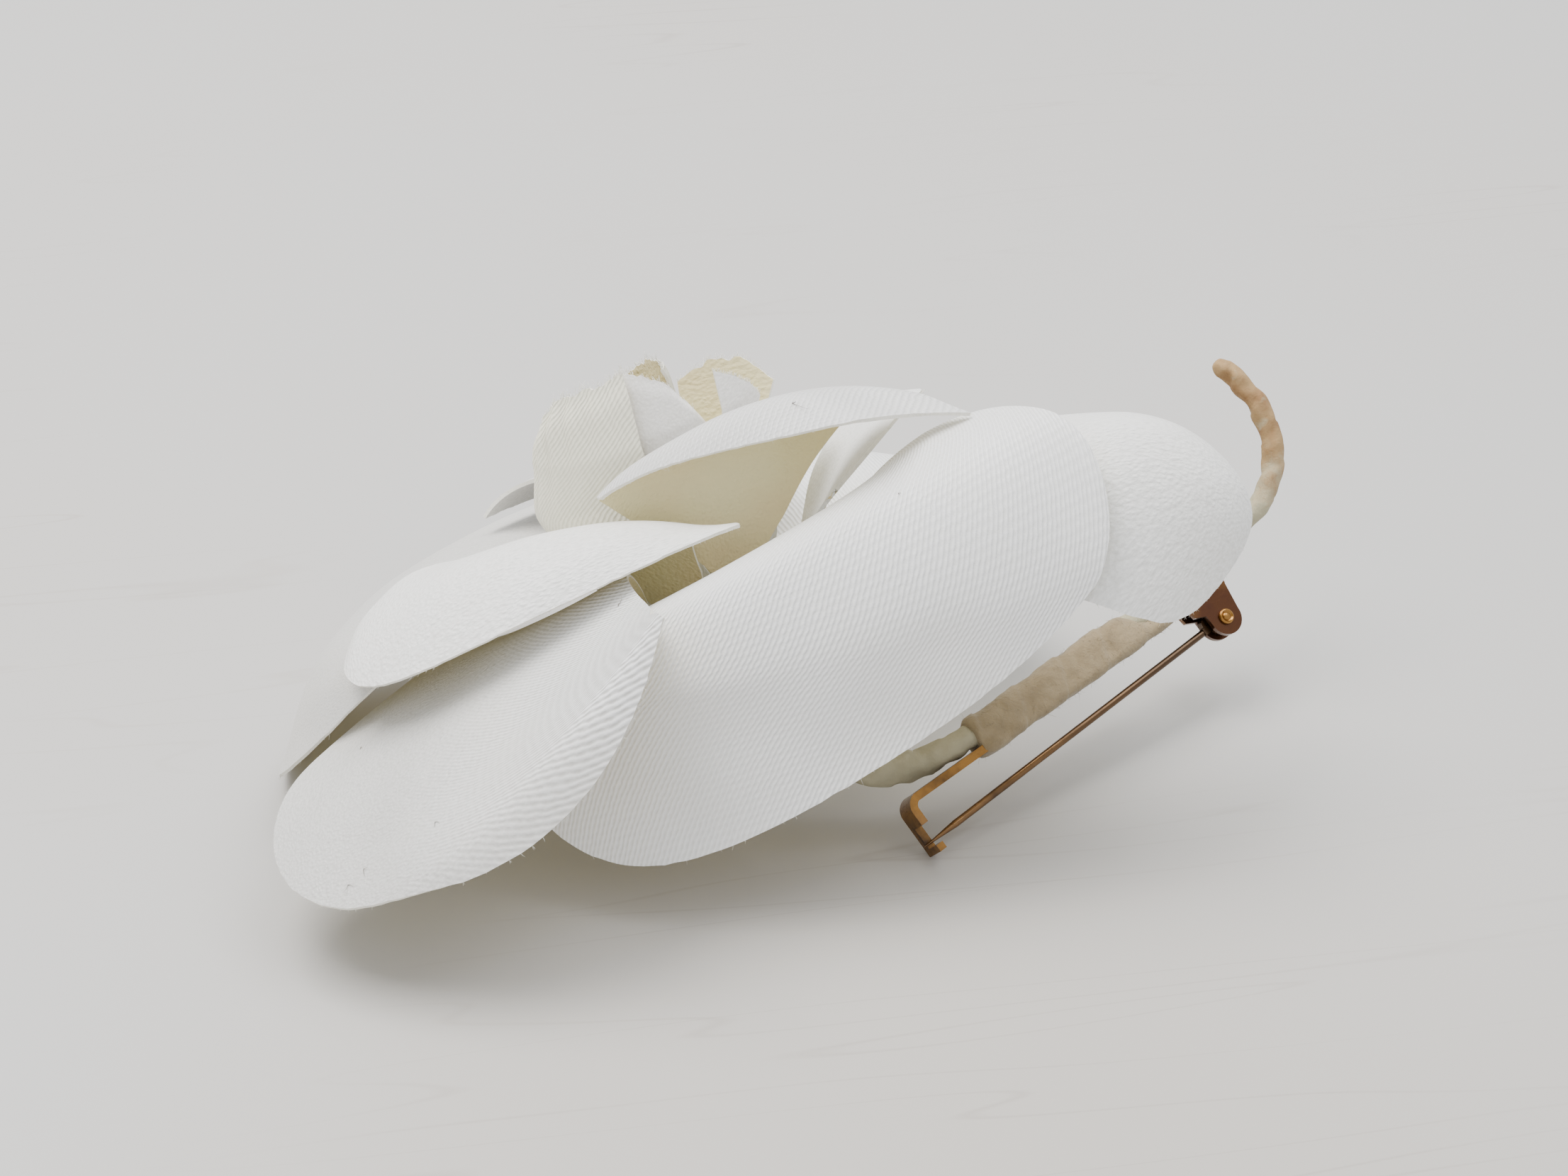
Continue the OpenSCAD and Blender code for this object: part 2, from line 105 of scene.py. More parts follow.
PETALS = (
    Petal("petal_front", -84, 55, (7, 2), ((11.5, -4), (18.5, -49), (11.5, -121), (12, 22)),
          (30.5, 0.65, 1.6), (0.65, 2.3, -0.17), (4, -2, 4.5, -4.5, 3), (2.5, 0.5), (-1, 1),
          "twill", 142, (1, 1, 1)),
    Petal("petal_left", -157, 47, (7, 1.8), ((14, -6), (10, -49), (31, 4), (1, -29)),
          (22, 0.8, 1.6), (0.78, 2.2, 0.15), (2.25, -2.5, -4.5, 8.5, 38), (-6, 7.5), (-1, 0.9),
          "mixed", 50, (0.70, 0.69, 0.67)),
    Petal("petal_far_left", -203, 58, (7, 2), ((7.5, 4), (10.5, -49), (27, -70), (6, 7)),
          (30, 0.44, 4), (0.44, 1.8, 0.15), (0.5, -1, -3, 1.5, 8), (-6.5, 8), (-1, 0.9),
          "plain", 0, (0.72, 0.71, 0.69)),
    Petal("petal_right", -46, 46, (7, 1.8), ((13.5, -13), (19, -38), (15.5, -100), (3, 0)),
          (13, 0.51, 1.6), (0.51, 2.2, -0.11), (2.5, 0, -3.5, -6, 24), (1.5, -1), (-1, 1),
          "pebble", 0, (0.96, 0.96, 0.95)),
    Petal("petal_back", 68, 33, (7, 2), ((10.5, 0), (9, -41), (16, -68), (3.5, 0)),
          (21, 0.85, 1.6), (0.85, 2, 0), (3, 0, 0, -4, 1), (0, -1), (-1, 1),
          "twill", 38, (1, 1, 1)),
    Petal("inner_front", -87, 77, (3.6, 6), ((11.5, -7), (7, -17), (12.5, -64), (5, 0)),
          (16.5, 0.67, 2), (0.67, 1.5, 0.23), (0.25, -4, 8, -2.5, 15), (5.5, 1.5), (-0.75, 0.83),
          "twill", 143, (0.8, 0.8, 0.8)),
    Petal("inner_left", -134, 75, (5.8, 5.2), ((8.5, -8), (14.5, -60), (16.5, -34)),
          (20, 0.93, 2.4), (0.93, 1.8, -0.23), (1.25, -5.5, -3.5, 4.5, 5), (-1, -0.7), (-1, 1),
          "pebble", 0, (1, 0.995, 0.98)),
    Petal("inner_far_left", -172, 62, (4.7, 5.6), ((11, 5), (5, -36), (14, -69)),
          (32.5, 0.89, 1.6), (0.89, 2.4, 0), (3.5, 0, -1, 1.5, -10), (5.5, 3.3), (-1, -0.35),
          "plain", 0, (0.76, 0.75, 0.735)),
    Petal("inner_right", 12, 59, (4.7, 5.3), ((8, -7), (7.5, -22), (6.5, -50)),
          (12, 0.61, 2), (0.61, 2.1, 0.1), (-1, -1.5, 1, 0.5, 3), (0, -1.5), (-1, 0.3),
          "plain", 0, (1, 1, 0.99)),
    Petal("inner_back", 63, 83, (4.7, 5.3), ((6.5, 2), (4, -25), (5, -50)),
          (18, 0.64, 2), (0.64, 2.2, -0.2), (-1.5, 0, -1, -0.5, -3), (-1, -0.5), (-0.6, 0.7),
          "plain", 0, (1, 1, 0.99)),
)

# Petals whose back is satin too, instead of the plain underside
SATIN_BACKS = {"inner_far_left": "Satin of inner_far_left"}

# The petal whose side is tucked behind its neighbour: from where, full where and how deep, in mm
TUCKED = "inner_front"
TUCK_FROM = 4
TUCK_FULL = 9
TUCK_DEPTH = 4.5

# Soft waves of the petals, in mm: height, length, shift from petal to petal, and how they grow
WAVE_HEIGHT = 0.35
WAVE_LENGTH = 8
WAVE_SHIFT = 3.1
WAVE_GROWTH = 1.3
WAVE_HELD = 0.2

# The uneven cut of the rims: depth in mm, and nicks to a mm
NICK_DEPTH = 0.1
NICK_PITCH = 1.7

# Fibres along each rim: count, length and thickness in mm, seed, and more on one worn stretch
FRAY_COUNT = 80
FRAY_LONG = 0.32
FRAY_THICK = 0.02
FRAY_SEED = 60
WORN = "petal_left"
WORN_COUNT = 120
WORN_SHARES = (0.62, 0.84)

# Bits of lint: petal, share of its length, share of its width, and length in mm
LINT = (
    ("petal_left", 0.93, 0.46, 0.9),
    ("petal_left", 0.95, 0.44, 0.7),
    ("petal_left", 0.87, 0.57, 1.1),
    ("petal_left", 0.50, 0.88, 0.9),
    ("petal_left", 0.70, 0.30, 0.4),
    ("inner_front", 0.84, 0.57, 1.4),
    ("petal_front", 0.62, 0.63, 0.3),
)

# How far lint lies over the cloth and its thickness, in mm, and the seed of its draws
LINT_LIFT = 0.06
LINT_THICK = 0.03
LINT_SEED = 90

# The rolled bud, from foot to mouth, in mm: height, centre x, centre y, half width, half depth
BUD_SECTIONS = np.array((
    (7.6, -1.4, -0.6, 3.2, 1.8),
    (11, -2.6, -0.5, 5, 2.6),
    (15, -4, -0.3, 6.6, 3.2),
    (19, -4.5, -0.2, 7.4, 4.2),
    (24, -4.6, -1.3, 8.2, 5.7),
    (31, -4, -2, 7.6, 6),
))

# The most a wrap is set in, as a share of the bud's depth, its grid and its mean radius in mm
WRAP_HELD = 0.72
WRAP_ROWS = 56
WRAP_COLS = 72
WRAP_RADIUS = 6.5


class Wrap(NamedTuple):
    """One wrap of the bud: angles in degrees, insets, heights of foot and top, and the rest in mm."""

    node: str
    first: float
    last: float
    inset: tuple
    foot: float
    top: tuple
    curl: float
    ragged: float
    swell: float


WRAPS = (
    Wrap("bud_outer", 110, 275, (0, 0), 7.6, (26, 26, 29.5, 30.5), 1, 0.5, 2.6),
    Wrap("bud_middle", 239, 350, (3.1, 1.2), 13, (28, 30.4, 28, 22.5), 0.5, 0.25, 0),
    Wrap("bud_core", -20, 150, (3.5, 4.2), 19, (28.6, 29.4, 28.2, 26.5), 0.2, 0.3, 0),
    Wrap("bud_fold", 336, 371, (-0.9, -3.6), 15, (27.7, 26.4, 24.9, 23), 0, 0.2, 0),
    Wrap("bud_flap", 17, 64, (-5.6, -3.4), 12, (23.4, 25.6, 25.8, 24.6), 0, 0.25, 0),
)

# Wraps of cream satin, the turn of their twill and its pitch as a share of the petals'
CREAM_WRAPS = ("bud_outer", "bud_core")
BUD_TURN = 38
BUD_PITCH = 0.8

# Gathers of the ragged wrap: depth in mm, count round the bud, slant and where they start
GATHER_RAGGED = 0.4
GATHER_DEPTH = 0.22
GATHER_COUNT = 17
GATHER_SLANT = 5
GATHER_FROM = 0.35

# Where a wrap's top curls, how its edge is torn and nicked, and the height where its swelling ends
CURL_FROM = 0.86
TORN_TURNS = 4
TORN_REACH = 3
SWELL_BELOW = 25
SWELL_SOFT = 7
WRAP_NICK = 0.5
WRAP_NICK_SEED = 20

# Loose threads of a wrap, and what more of them a ragged wrap has, with lengths in mm
THREAD_COUNT = 60
THREAD_MORE = 300
THREAD_LONG = 0.2
THREAD_LONGER = 0.8
THREAD_THICK = 0.035
THREAD_SEED = 40

# Weaves: where the ribs start and are full across the cloth, size of the pebbles, relief in metres
WEAVES = {
    "twill": ((-100, -99), 0.4, 0.00008),
    # mixed also fades a petal's painted shade out where its ribs come in
    "mixed": ((-2, 15), 0.3, 0.00007),
    "fine": ((-100, -99), 0.4, 0.00007),
    "pebble": ((), 0.42, 0.0001),
    "plain": ((), 0.25, 0.00003),
}

# How far age has stained the petals, the cream wraps and the inner wraps
PETAL_AGED = 0.25
BUD_AGED = 0.3
INNER_AGED = 0.2

# The stem's browned end: how far before the tip it starts and is full, and how patchy, in mm
BROWN_FROM = 9
BROWN_FULL = 4
BROWN_PATCH = 9.0

# The bar pin's place and turns, in mm and degrees: +X from catch to hinge rivet, +Z from pin to bar
BAR_AT = np.array((9.2, -7.3, -18.5))
BAR_TURN = (-28, -5, 31)
BAR_RISE = 4
BAR_LEAN = 1.5
BAR_THICK = 0.75
BAR_WIDTH = 2.4
BAR_ROUND = 0.3
PIN_REACH = 38

# The bar's skin: eased edge and weld in metres, and the angles that count as flat and as sharp
EASED_EDGE = 0.00009
EASED_STEPS = 2
WELD = 0.000002
FLAT_ANGLE = math.radians(2)
BAR_SHARP = math.radians(40)

# The sharp edges of cloth and rivet
SHARP = math.radians(50)

# The rivet and the rings turned into its heads, in mm: radius, height over the head's face
RIVET_R = 0.5
RIVET_HEAD_R = 0.75
RIVET_HEAD_AT = 1.23
RIVET_HEAD_THICK = 0.3
RIVET_RINGS = (
    (0.01, 0.02), (0.22, 0.0), (0.36, -0.06), (0.40, -0.14), (0.48, -0.12), (0.58, 0.0),
    (0.68, -0.02), (RIVET_HEAD_R, -0.12), (RIVET_HEAD_R, -RIVET_HEAD_THICK),
    (RIVET_R, -RIVET_HEAD_THICK),
)
RIVET_SIDES = 36

# The tape's start, the stem's split from it and its end by the hinge, in mm along the bar
TAPE_FROM = 9.2
TAPE_SPLIT = 30.5
TAPE_TO = 35

# The tape's wall, the length of one turn, the step from ring to ring, its sides and its girth, in mm
TAPE_WALL = 0.3
TAPE_WRAP = 5.2
TAPE_STEP = 0.22
TAPE_SIDES = 56
TAPE_GIRTH = 9

# Where the tape lets the stem go and where it thins, with the lengths that takes, in mm
LET_GO = (27.5, 5.5)
THINS = (31.5, 3)
THINNED = 0.5

# The tape's overlap: height in mm, and the shares of a turn where it is full and where it drops
TAPE_LAP = (0.16, 0.7, 0.93)
TAPE_LAP_LEAST = 0.35

# The tape's lumps, the roll by its start and the drawn-in end there, in mm
TAPE_LUMP = 0.14
TAPE_LUMP_ROUND = 0.8
TAPE_LUMP_ALONG = 0.7
TAPE_ROLL = 0.12
TAPE_ROLL_AT = 1.3
TAPE_START = 0.82
TAPE_START_RUN = 0.5

# Fibres that stand from the tape: count, length and thickness in mm, spread and seeds
FIBRE_COUNT = 420
FIBRE_LONG = 0.55
FIBRE_THICK = 0.018
FIBRE_OUT = 0.35
FIBRE_SPREAD = 0.6
FIBRE_SEEDS = (11, 12)

# The stem by the bar, in mm: bound radius, gap, height over the bar, and rise behind the tape
STEM_BOUND_R = 1.1
STEM_GAP = 0.1
STEM_UP = BAR_THICK / 2 + STEM_GAP + STEM_BOUND_R
STEM_RISE = 0.8
STEM_RISE_RUN = 3.5
BOUND_ROWS = 5

# The stem before and after the bar, in mm: x, y, z, radius
STEM_ROOT = (
    (0, 1.5, -2.3, 1.6),
    (0.3, 0.6, -4.9, 1.65),
    (2, -0.8, -8.8, 1.7),
    (5.6, -1.9, -12, 1.7),
    (10.2, -1.7, -13.4, 1.4),
)
STEM_TAIL = (
    (39.5, 14, -8.6, 1),
    (44.2, 15.8, -8.6, 1),
    (48, 16.6, -7.6, 1),
    (50.5, 17.6, -5.3, 1),
    (51.7, 18.7, -2.3, 1),
    (51.5, 19.5, 1.2, 1),
    (50.2, 20.2, 4.2, 0.95),
    (48.8, 20.5, 6.4, 0.85),
)

# Rings to a span of the stem, points round a ring, and the way that the first ring starts from
STEM_PARTS = 16
STEM_SIDES = 28
STEM_SIDEWAYS = (0.2, 1, 0.1)

# The crepe's winding, its overlap and its lumps, and how the tail's tip closes, in mm
CREPE_WRAP = 3.4
CREPE_LAP = (0.13, 0.8, 0.9)
CREPE_SLIM = 0.92
CREPE_LUMP = 0.2
CREPE_LUMP_ROUND = 1.1
CREPE_LUMP_ALONG = 1.3
TIP_RUN = 0.9
TIP_LEAST = 0.35

# Half of the flower's base, in mm: radius, height
BASE_OUTLINE = (
    (0.1, -0.6), (4, -0.6), (5.4, 0.6), (5.4, 2.6), (4.3, 4.4), (3.3, 5), (2.3, 5.6), (1.5, 6.7),
    (0.1, 6.7),
)

# Rings to a span of the base, points round a ring, girth in mm, and its pleats
BASE_PARTS = 5
BASE_SIDES = 64
BASE_GIRTH = 5
BASE_PLEATS = 9
BASE_PLEAT_DEPTH = 0.035
BASE_PLEAT_FULL = 3

# Threads stay this far above the table, in metres
TABLE_GAP = 0.00003

# Loose threads: steps, angles round them, shortest share, bend, and how thin the tip gets
STRAND_STEPS = 5
STRAND_ANGLES = (0, 2.1, 4.2)
STRAND_SHORTEST = 0.35
STRAND_BEND = 0.45
STRAND_TAPER = 0.6

# Metals: name, settings of its clean tone and of the tone by the hinge, how far in metres that is
# full and ends, share of tarnish, and how far painted shade greys the broad faces along the bar
METALS = (
    ("Gilt", "gilt", "copper", (0.0028, 0.0055), 0.7, 0.85),
    ("Rivet brass", "gilt", "gilt", (0, 0.001), 0.45, 0),
    ("Pin wire", "wire", "tarnish", (0.008, 0.032), 0.6, 0),
)

# Fixed tones: stains and specks of cloth, specks of felt, lint, painted shade on the bar's broad
# faces, the table's warm patches and its scratches
STAIN_CREAM = (0.80, 0.76, 0.68, 1)
SPECK_BROWN = (0.2, 0.15, 0.08, 1)
FELT_SPECK = (0.1, 0.07, 0.04, 1)
LINT_GREY = (0.22, 0.19, 0.16, 1)
PAINTED_FACE_SHADE = (0.26, 0.185, 0.15, 1)
TABLE_WARM = (0.47, 0.44, 0.40, 1)
TABLE_MARK = (0.32, 0.28, 0.25, 1)

# Lamps: name, place in metres, the setting of its power, and colour
LAMPS = (
    ("cool_lamp", (0.2, 0.06, 0.5), "cool", (0.96, 0.98, 1.0)),
    ("warm_lamp", (-0.17, 0.14, 0.5), "warm", (1.0, 0.975, 0.94)),
)
LAMP_WIDE = 0.36
LAMP_DEEP = 0.3
LAMP_AIM = Vector((0, 0, 0.02))
ROOM = (0.97, 0.985, 1.0, 1)
TABLE_SIZE = 4

# The camera: place in metres, turns in degrees and lens in mm
CAMERA_AT = (-0.04202, -0.22294, 0.17258)
CAMERA_TURN = (55.541, 0.062, -10.414)
CAMERA_LENS = 70.31
CAMERA_SENSOR = 36
CAMERA_NEAR = 0.01

COLOUR = {"subtype": "COLOR", "size": 4, "min": 0, "max": 1}


class ClothSettings(bpy.types.PropertyGroup):
    """Sizes and colours of the satin."""

    wall: FloatProperty(name="Cloth wall", description="Thickness of the starched satin",
                        default=0.00034, min=0.0002, max=0.0008, unit="LENGTH", precision=5)
    twill: FloatProperty(name="Twill pitch", description="Distance between two ribs, in mm",
                         default=0.4, min=0.2, max=0.8)
    satin: FloatVectorProperty(name="Satin", description="Face of the petals",
                               default=(0.91, 0.91, 0.905, 1), **COLOUR)
    underside: FloatVectorProperty(name="Underside", description="Back of the petals",
                                   default=(0.80, 0.725, 0.43, 1), **COLOUR)
    # The bud's bright cream is partly the cloth's own colour and partly painted glow of light shining
    # through the thin wraps
    bud: FloatVectorProperty(name="Bud", description="Face of the bud's outer wrap",
                             default=(0.97, 0.945, 0.77, 1), **COLOUR)
    inner: FloatVectorProperty(name="Inner bud", description="Face of the bud's inner wraps",
                               default=(0.97, 0.95, 0.92, 1), **COLOUR)
    cut: FloatVectorProperty(name="Cut edge", description="Rim of a petal where it was cut",
                             default=(0.88, 0.86, 0.78, 1), **COLOUR)


class StemSettings(bpy.types.PropertyGroup):
    """Colours of the stem and its tapes."""

    crepe: FloatVectorProperty(name="Crepe tape", description="Tape of the stem",
                               default=(0.42, 0.385, 0.265, 1), **COLOUR)
    aged: FloatVectorProperty(name="Aged tape", description="Tape at the stem's end",
                              default=(0.40, 0.26, 0.125, 1), **COLOUR)
    binding: FloatVectorProperty(name="Binding tape", description="Tape round the bar",
                                 default=(0.28, 0.22, 0.135, 1), **COLOUR)


class MetalSettings(bpy.types.PropertyGroup):
    """Colours of the bar pin."""

    gilt: FloatVectorProperty(name="Gilt", description="Clean plating of the bar",
                              default=(0.31, 0.15, 0.032, 1), **COLOUR)
    tarnish: FloatVectorProperty(name="Tarnish", description="Dark stain on the plating",
                                 default=(0.05, 0.028, 0.014, 1), **COLOUR)
    wire: FloatVectorProperty(name="Wire", description="Brown lacquer of the pin wire",
                              default=(0.20, 0.105, 0.04, 1), **COLOUR)
    copper: FloatVectorProperty(name="Copper", description="Red stain of the hinge ears",
                                default=(0.05, 0.012, 0.008, 1), **COLOUR)


class StageSettings(bpy.types.PropertyGroup):
    """Table and light."""

    table: FloatVectorProperty(name="Table", description="Colour of the table",
                               default=(0.50, 0.496, 0.488, 1), **COLOUR)
    cool: FloatProperty(name="Cool light", description="Power of the lamp at the right",
                        default=1.6, min=0, max=50, unit="POWER")
    warm: FloatProperty(name="Warm light", description="Power of the lamp at the left",
                        default=4.6, min=0, max=50, unit="POWER")
    fill: FloatProperty(name="Fill light", description="Strength of the room's light",
                        default=1.12, min=0, max=5)


def unit(ways):
    """Ways of length one."""
    return ways / np.maximum(np.linalg.norm(ways, axis=-1, keepdims=True), TINY)


def smooth(x):
    """A soft step from 0 to 1."""
    c = np.clip(x, 0, 1)
    return c * c * (3 - 2 * c)


def ring_angles(count):
    """Angles of the points round a ring."""
    return np.linspace(0, 2 * np.pi, count, endpoint=False)


def ring_ways(angles):
    """Ways from a ring's middle to its points."""
    return np.stack((np.cos(angles), np.sin(angles)), axis=1)


def lumps(spots, reach, level):
    """Soft noise at the spots of one ring."""
    return np.array([noise.noise((*(reach * spot), level)) for spot in spots])


def overlap(turns, height, grows, drops):
    """Height of a wound strip, which rises over each turn and drops at its edge."""
    wound = turns % 1.0
    return height * smooth(wound / grows) * (1 - smooth((wound - drops) / (1 - drops)))


def turned(points, axis, degrees):
    """Points turned about an axis, X being 0, by the right hand."""
    a = math.radians(degrees)
    b, c = (axis + 1) % 3, (axis + 2) % 3
    out = np.array(points, float)
    out[..., b] = points[..., b] * math.cos(a) - points[..., c] * math.sin(a)
    out[..., c] = points[..., b] * math.sin(a) + points[..., c] * math.cos(a)
    return out


def laid(points):
    """Points of the flower's frame, in mm, carried to the table, in metres."""
    return (turned(turned(np.asarray(points, float), 0, LIE_X), 1, LIE_Y) + LIE_AT) * MM


def from_pin(points):
    """Points of the bar pin's frame carried to the flower's frame."""
    out = np.asarray(points, float)
    for axis, degrees in enumerate(BAR_TURN):
        out = turned(out, axis, degrees)
    return out + BAR_AT


def from_bar(points):
    """Points of the leaning bar's frame carried to the flower's frame."""
    return from_pin(turned(np.asarray(points, float), 1, BAR_LEAN) + (0, 0, BAR_RISE))


def pressed(points):
    """The flower pressed from the front, along the lines to a far point."""
    z = points @ PRESS_WAY
    cut = (1 - PRESS_KEEP) * PRESS_BLEND * np.log1p(np.exp((z - PRESS_FROM) / PRESS_BLEND))
    share = cut / (PRESS_EYE @ PRESS_WAY - z)
    return points - (PRESS_EYE - points) * share[..., None]


def rib(petal, s):
    """Radius, height and rise of a petal's middle rib after a length s."""
    r, h = (np.full(s.shape, float(v)) for v in petal.root)
    rise = np.full(s.shape, math.radians(petal.rise))
    left = s
    for i, (run, bend) in enumerate(petal.runs):
        d = left if i == len(petal.runs) - 1 else np.minimum(left, run)
        curl = math.radians(bend) / run
        after = rise + curl * d
        if bend:
            r = r + (np.sin(after) - np.sin(rise)) / curl
            h = h + (np.cos(rise) - np.cos(after)) / curl
        else:
            r = r + d * np.cos(rise)
            h = h + d * np.sin(rise)
        rise = after
        left = np.maximum(left - run, 0)
    return r, h, rise


def petal_grid(petal):
    """Middle surface of a petal, and its flat places across and along, in mm."""
    low, high = petal.sides
    j = np.arange(PETAL_COLS + 1) / PETAL_COLS
    t = low + (high - low) * (np.sin(np.pi * (j - 0.5)) + 1) / 2
    reach = sum(run for run, _ in petal.runs)
    side, tip, lop = petal.edge
    crown = side + (1 - side) * np.maximum(0, 1 - np.abs(t) ** tip) ** (1 / tip)
    length = reach * crown * (1 + lop * t)
    s = np.linspace(0, 1, PETAL_ROWS + 1)[:, None] * length[None, :]
    t = np.broadcast_to(t, s.shape)
    q = s / reach
    far = q ** SKEW_GROWTH
    r, h, rise = rib(petal, s)
    lean, bow, flare, dip, swirl = petal.fold
    lift = lean * t * (1 - np.exp(-s / PETAL_SPREAD)) + bow * t * t * smooth(q / FOLD_SHARE)
    out = r - np.sin(rise) * lift + (flare * t * t + petal.skew[0] * t) * far
    up = h + np.cos(rise) * lift + (dip * t * t + petal.skew[1] * t) * far
    widest, at, fast = petal.half
    grow = np.sin(np.pi / 2 * np.minimum(1, q / at)) ** fast
    half = ROOT_HALF + (widest - ROOT_HALF) * grow
    az = np.radians(petal.az + swirl * q) + t * half / np.maximum(out, LEAST_ROUND)
    grid = pressed(np.stack((out * np.cos(az), out * np.sin(az), up), axis=-1))
    return grid, np.stack((t * half, s), axis=-1)


def tucked(grid, places):
    """A petal whose one side is pushed back behind its neighbour, along the sight lines."""
    across, along = places[..., 0], places[..., 1]
    share = smooth((across - TUCK_FROM) / (TUCK_FULL - TUCK_FROM)) * smooth(along / along.max())
    return grid + unit(grid - PRESS_EYE) * (TUCK_DEPTH * share)[..., None]


def bud_at(h, column):
    """One measure of the bud at a height."""
    return np.interp(h, BUD_SECTIONS[:, 0], BUD_SECTIONS[:, column])


def wrap_grid(wrap):
    """Middle surface of one wrap of the bud, and its flat places, in mm."""
    u = np.linspace(0, 1, WRAP_COLS + 1)[None, :]
    v = np.linspace(0, 1, WRAP_ROWS + 1)[:, None]
    a = np.radians(wrap.first + (wrap.last - wrap.first) * u)
    inset = wrap.inset[0] + (wrap.inset[1] - wrap.inset[0]) * u
    torn = lumps(ring_ways(TORN_TURNS * a[0]), TORN_REACH, wrap.first)
    top = np.interp(3 * u, np.arange(4), wrap.top) + wrap.ragged * torn
    h = wrap.foot + (top - wrap.foot) * v
    # A negative inset lets the wrap lean out towards its top
    held = np.where(inset < 0, inset * v, np.minimum(inset, WRAP_HELD * bud_at(h, 4)))
    if wrap.ragged > GATHER_RAGGED:
        gathers = GATHER_DEPTH * np.sin(GATHER_COUNT * a + GATHER_SLANT * u)
        held = held + gathers * smooth((v - GATHER_FROM) / (1 - GATHER_FROM))
    held = held + wrap.curl * smooth((v - CURL_FROM) / (1 - CURL_FROM)) ** 2
    x = bud_at(h, 1) + (bud_at(h, 3) - held) * np.cos(a)
    y = bud_at(h, 2) + (bud_at(h, 4) - held) * np.sin(a)
    x = x - wrap.swell * smooth((SWELL_BELOW - h) / SWELL_SOFT) * np.maximum(0, -np.cos(a))
    grid = pressed(np.stack((x, y, h), axis=-1))
    around = np.broadcast_to(np.radians(wrap.last - wrap.first) * WRAP_RADIUS * u, x.shape)
    return grid, np.stack((around, h), axis=-1)


def normals_of(grid):
    """Ways out of a grid at its points."""
    return unit(np.cross(np.gradient(grid, axis=0), np.gradient(grid, axis=1)))


def waved(grid, places, seed):
    """A grid with soft waves that grow towards its rim."""
    share = smooth(np.linspace(0, 1, len(grid)) * WAVE_GROWTH - WAVE_HELD)[:, None]
    flat = places.reshape(-1, 2) / WAVE_LENGTH
    wave = np.array([noise.noise((x, y, seed)) for x, y in flat]).reshape(places.shape[:2])
    return grid + normals_of(grid) * (WAVE_HEIGHT * wave * share)[..., None]


def nicked(grid, depth, seed):
    """A grid whose rim is cut a little unevenly, in mm."""
    cut = np.array([noise.noise((NICK_PITCH * x, NICK_PITCH * y, NICK_PITCH * z + seed))
                    for x, y, z in grid[-1]])
    out = grid.copy()
    out[-1] += unit(grid[-1] - grid[-2]) * (depth * cut)[:, None]
    return out


def mesh_object(name, points, faces, places=None, kinds=None):
    """A mesh from points of the flower's frame in mm, with its flat places as a UV map."""
    mesh = bpy.data.meshes.new(name)
    spots = laid(points)
    if places is None:
        spots[:, 2] = np.maximum(spots[:, 2], TABLE_GAP)
    mesh.from_pydata([tuple(p) for p in spots], [], faces)
    if places is not None:
        layer = mesh.uv_layers.new(name="flat_mm")
        corner = np.zeros(len(mesh.loops), int)
        mesh.loops.foreach_get("vertex_index", corner)
        layer.data.foreach_set("uv", np.asarray(places, float)[corner].ravel())
    if kinds is not None:
        mesh.polygons.foreach_set("material_index", kinds)
    mesh.polygons.foreach_set("use_smooth", [True] * len(mesh.polygons))
    mesh.update()
    made = bpy.data.objects.new(name, mesh)
    bpy.context.scene.collection.objects.link(made)
    return made


def cloth_object(name, grid, places, wall, face_up):
    """A closed sheet of cloth: material 0 on its face, 1 on its back, 2 round its cut rim."""
    rows, cols = grid.shape[:2]
    half = normals_of(grid) * wall / 2
    points = np.concatenate(((grid + half).reshape(-1, 3), (grid - half).reshape(-1, 3)))
    count = rows * cols
    i, j = np.meshgrid(np.arange(rows - 1), np.arange(cols - 1), indexing="ij")
    c = (i * cols + j).ravel()
    upper = np.stack((c, c + cols, c + cols + 1, c + 1), axis=1)
    lower = np.stack((c, c + 1, c + cols + 1, c + cols), axis=1) + count
    loop = np.concatenate((
        np.arange(cols - 1),
        np.arange(rows - 1) * cols + cols - 1,
        (rows - 1) * cols + np.arange(cols - 1, 0, -1),
        np.arange(rows - 1, 0, -1) * cols,
    ))
    after = np.roll(loop, -1)
    rim = np.stack((loop, after, after + count, loop + count), axis=1)
    faces = np.concatenate((upper, lower, rim))
    face, back = (0, 1) if face_up else (1, 0)
    kinds = np.repeat((face, back, 2), (len(upper), len(lower), len(rim)))
    flat = np.concatenate((places.reshape(-1, 2), places.reshape(-1, 2)))
    made = mesh_object(name, points, faces.tolist(), flat, kinds)
    made.data.set_sharp_from_angle(angle=SHARP)
    return made


def rings_object(name, rings, places):
    """A closed skin over rings of points, with its ends filled."""
    rings, places = np.array(rings), np.array(places)
    n, sides = rings.shape[:2]
    ends = (rings[:1].mean(axis=1), rings[-1:].mean(axis=1))
    points = np.concatenate((rings.reshape(-1, 3), *ends))
    faces = []
    for i in range(0, (n - 1) * sides, sides):
        for j in range(sides):
            k = (j + 1) % sides
            faces.append((i + j, i + k, i + sides + k, i + sides + j))
    last = (n - 1) * sides
    for j in range(sides):
        k = (j + 1) % sides
        faces.append((k, j, n * sides))
        faces.append((last + j, last + k, n * sides + 1))
    flat = np.concatenate((places.reshape(-1, 2), places[:1, 0], places[-1:, 0]))
    return mesh_object(name, points, faces, flat)


def carried(path):
    """Two directions across a path at each of its points, carried along without twist."""
    way = unit(np.gradient(path, axis=0))
    side = np.cross(way[0], STEM_SIDEWAYS)
    sides = []
    for w in way:
        side = unit(side - w * (side @ w))
        sides.append(side)
    sides = np.array(sides)
    return sides, np.cross(way, sides)


